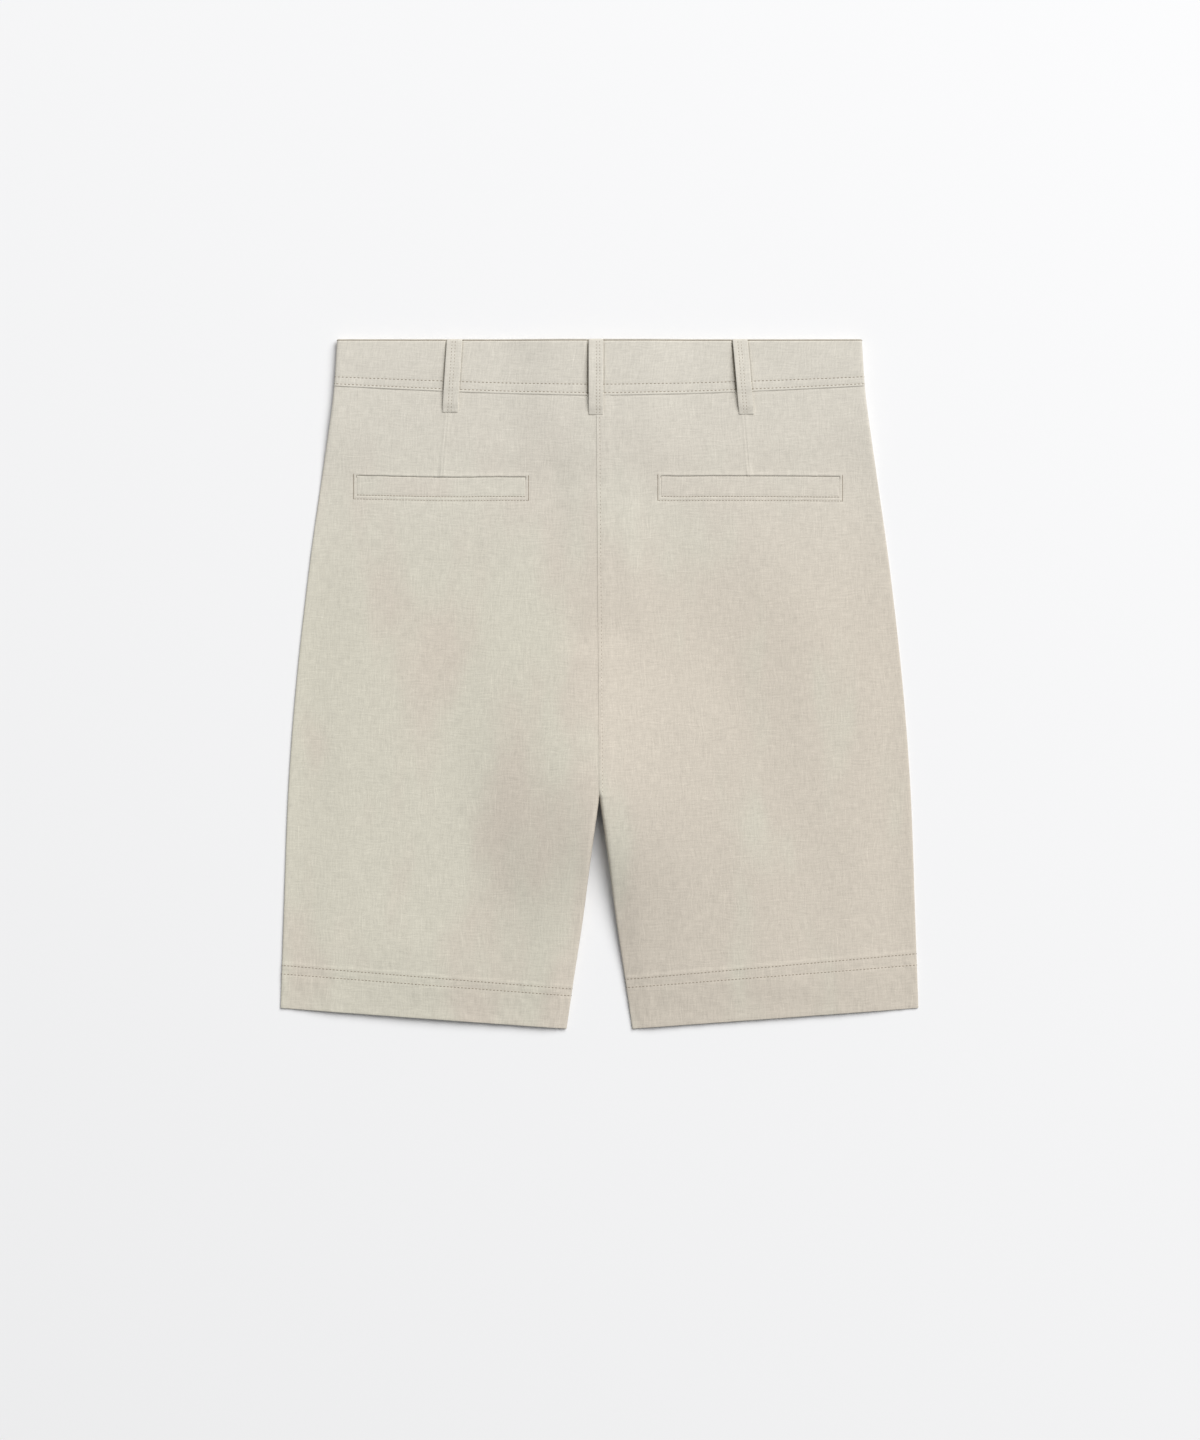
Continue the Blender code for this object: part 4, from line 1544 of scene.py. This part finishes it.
def buildPull():
    # a tab with an eye at its upper end
    top, long = pull["top"], pull["long"]
    body = outline(pull["half"], long / 2, pull["square"], pull["taper"])
    eye = [(x, y + long / 2 - pull["eyeIn"]) for x, y in outline(pull["eye"], pull["eye"], 1.0)]
    lean = math.atan2(plainFloor(0, top) - plainFloor(0, top + long), long)
    middle = top + long / 2
    where = Matrix.Translation(place((0, middle, plainFloor(0, middle) + pull["rise"])))
    tab = plate(body, eye, -pull["wall"], pull["wall"])
    finishMetal("zip_pull", tab, where @ Matrix.Rotation(lean, 4, "X"))


button = {
    "across": 2.0,
    "down": 28.0,
    "holesOut": 1.9,
    "hole": {"segments": 24, "radius1": 0.9, "radius2": 0.9, "depth": 4.0},
    "face": 0.62,
    # radius, height
    "rim": [(6.6, 1.95), (7.8, 1.8), (8.35, 1.45), (8.5, 1.0), (8.35, 0.5), (7.8, 0.12), (7.1, 0.0)],
    "dish": [(6.4, 0.08), (5.7, 0.35), (5.0, 0.55), (4.0, 0.62)],
    "threadPast": 0.4,
    "holeEnds": (-10, 8.5),
    "holeRows": (0.35, 0.8),
}


def buildButton():
    # turned, dished in the middle with a round rim, and drilled with four holes
    bm = bmesh.new()
    profile = [(0.0, button["rim"][0][1])] + button["rim"] + button["dish"] + [(0.0, button["face"])]
    line = [bm.verts.new((radius, 0, height)) for radius, height in profile]
    edges = [bm.edges.new(pair) for pair in zip(line, line[1:])]
    bmesh.ops.spin(bm, geom=line + edges, axis=(0, 0, 1), cent=(0, 0, 0), steps=72, angle=2 * math.pi)
    bmesh.ops.remove_doubles(bm, verts=bm.verts, dist=0.001)
    bmesh.ops.recalc_face_normals(bm, faces=bm.faces)
    where = Matrix.Translation(place((button["across"], button["down"], 0.0))) @ toMetres
    bmesh.ops.transform(bm, matrix=where, verts=bm.verts)
    piece = addPiece("waistButton", bm, horn, "button", "waist_button")
    drill = bmesh.new()
    out = Matrix.Translation((button["holesOut"], 0, 1))
    for i in range(4):
        turn = Matrix.Rotation(math.pi * (i / 2 + 0.25), 4, "Z")
        bmesh.ops.create_cone(drill, cap_ends=True, matrix=turn @ out, **button["hole"])
    bmesh.ops.transform(drill, matrix=where, verts=drill.verts)
    tool = putInScene("drill", meshOf(drill, "drill"))
    cut = piece.modifiers.new("holes", "BOOLEAN")
    cut.object = tool
    cut.solver = "EXACT"
    drilled = bpy.data.meshes.new_from_object(piece.evaluated_get(bpy.context.evaluated_depsgraph_get()))
    piece.modifiers.remove(cut)
    piece.data = drilled
    drilled.set_sharp_from_angle(angle=0.7)
    bpy.data.objects.remove(tool)


def buttonStitches():
    # two threads over the face, each with the worked edges of the buttonhole in the lap
    x, down = button["across"], button["down"]
    out = button["holesOut"] * math.sqrt(0.5)
    long = out + button["threadPast"]
    left, right = button["holeEnds"]
    away = [Vector((0, 0, -1))] * 2
    for side in words:
        across = down + side * out
        yield "button", [Vector((x + end, across, button["face"])) for end in (-long, long)], away
        for beside in button["holeRows"]:
            across = down + side * beside
            yield "buttonhole", [Vector((x + end, across, bandFloor(x))) for end in (left, right)], away


flyRows = {"across": -27.0, "apart": 6.0, "top": 47, "step": 4, "below": 3.0, "turn": 30.0, "closer": 0.8}


def flyStitches():
    # straight down the left front, then round to the edge of the lap
    for beside in (0.0, flyRows["apart"]):
        edge, turn = flyRows["across"] + beside, flyRows["turn"] - beside
        bottom = fly["end"] + flyRows["below"] - beside * flyRows["closer"]
        spots = [(edge, down) for down in range(flyRows["top"], int(bottom - turn), flyRows["step"])]
        for angle in halfTurn(30)[1:16]:
            spots.append((edge + turn * (1 - math.cos(angle)), bottom - turn * (1 - math.sin(angle))))
        line = [Vector((x, down, clothFloor(-1, -x, down))) for x, down in spots]
        yield "fly", line, [Vector((0, 0, -1))] * len(line)


buildTape()
buildTeeth()
buildSlider()
buildPull()
buildButton()
sewPiece("buttonStitching", buttonStitches())
sewPiece("flyStitching", flyStitches())
print("shorts: zip and button set")


stage = {"size": 9.0, "under": -0.00015, "colour": (0.885, 0.885, 0.89, 1)}
bm = bmesh.new()
bmesh.ops.create_grid(bm, x_segments=8, y_segments=8, size=stage["size"])
bmesh.ops.translate(bm, vec=(0, 0, stage["under"]), verts=bm.verts)
floor = putInScene("floor", meshOf(bm, "floor"))
floor.data.materials.append(newMaterial("paper", {"Base Color": stage["colour"], "Roughness": 0.95})[0])

lights = {
    "sky": (0.985, 0.99, 1.0, 1),
    "world": 0.27,
    "key": 1805.0,
    "keyPlace": (5.0, 6.6, 8.7),
    "keySize": 11.0,
}
world = bpy.data.worlds.new("studio")
bpy.context.scene.world = world
world.use_nodes = True
background = world.node_tree.nodes["Background"]
background.inputs["Color"].default_value = lights["sky"]
background.inputs["Strength"].default_value = lights["world"]
lamp = bpy.data.lights.new("key", "AREA")
lamp.shape = "DISK"
lamp.size = lights["keySize"]
lamp.energy = lights["key"]
keyLight = putInScene("key", lamp)
keyLight.location = lights["keyPlace"]
keyLight.rotation_euler = (-keyLight.location).to_track_quat("-Z", "Y").to_euler()

cameraPlace = {"lens": 100.0, "sensor": 36.0, "place": (0.0004, -0.0274, 3.053)}
cameraData = bpy.data.cameras.new("camera")
cameraData.lens = cameraPlace["lens"]
cameraData.sensor_width = cameraPlace["sensor"]
camera = putInScene("camera", cameraData)
camera.location = cameraPlace["place"]
bpy.context.scene.camera = camera
bpy.context.scene.view_settings.view_transform = "Standard"
print("shorts: stage, light and camera set")
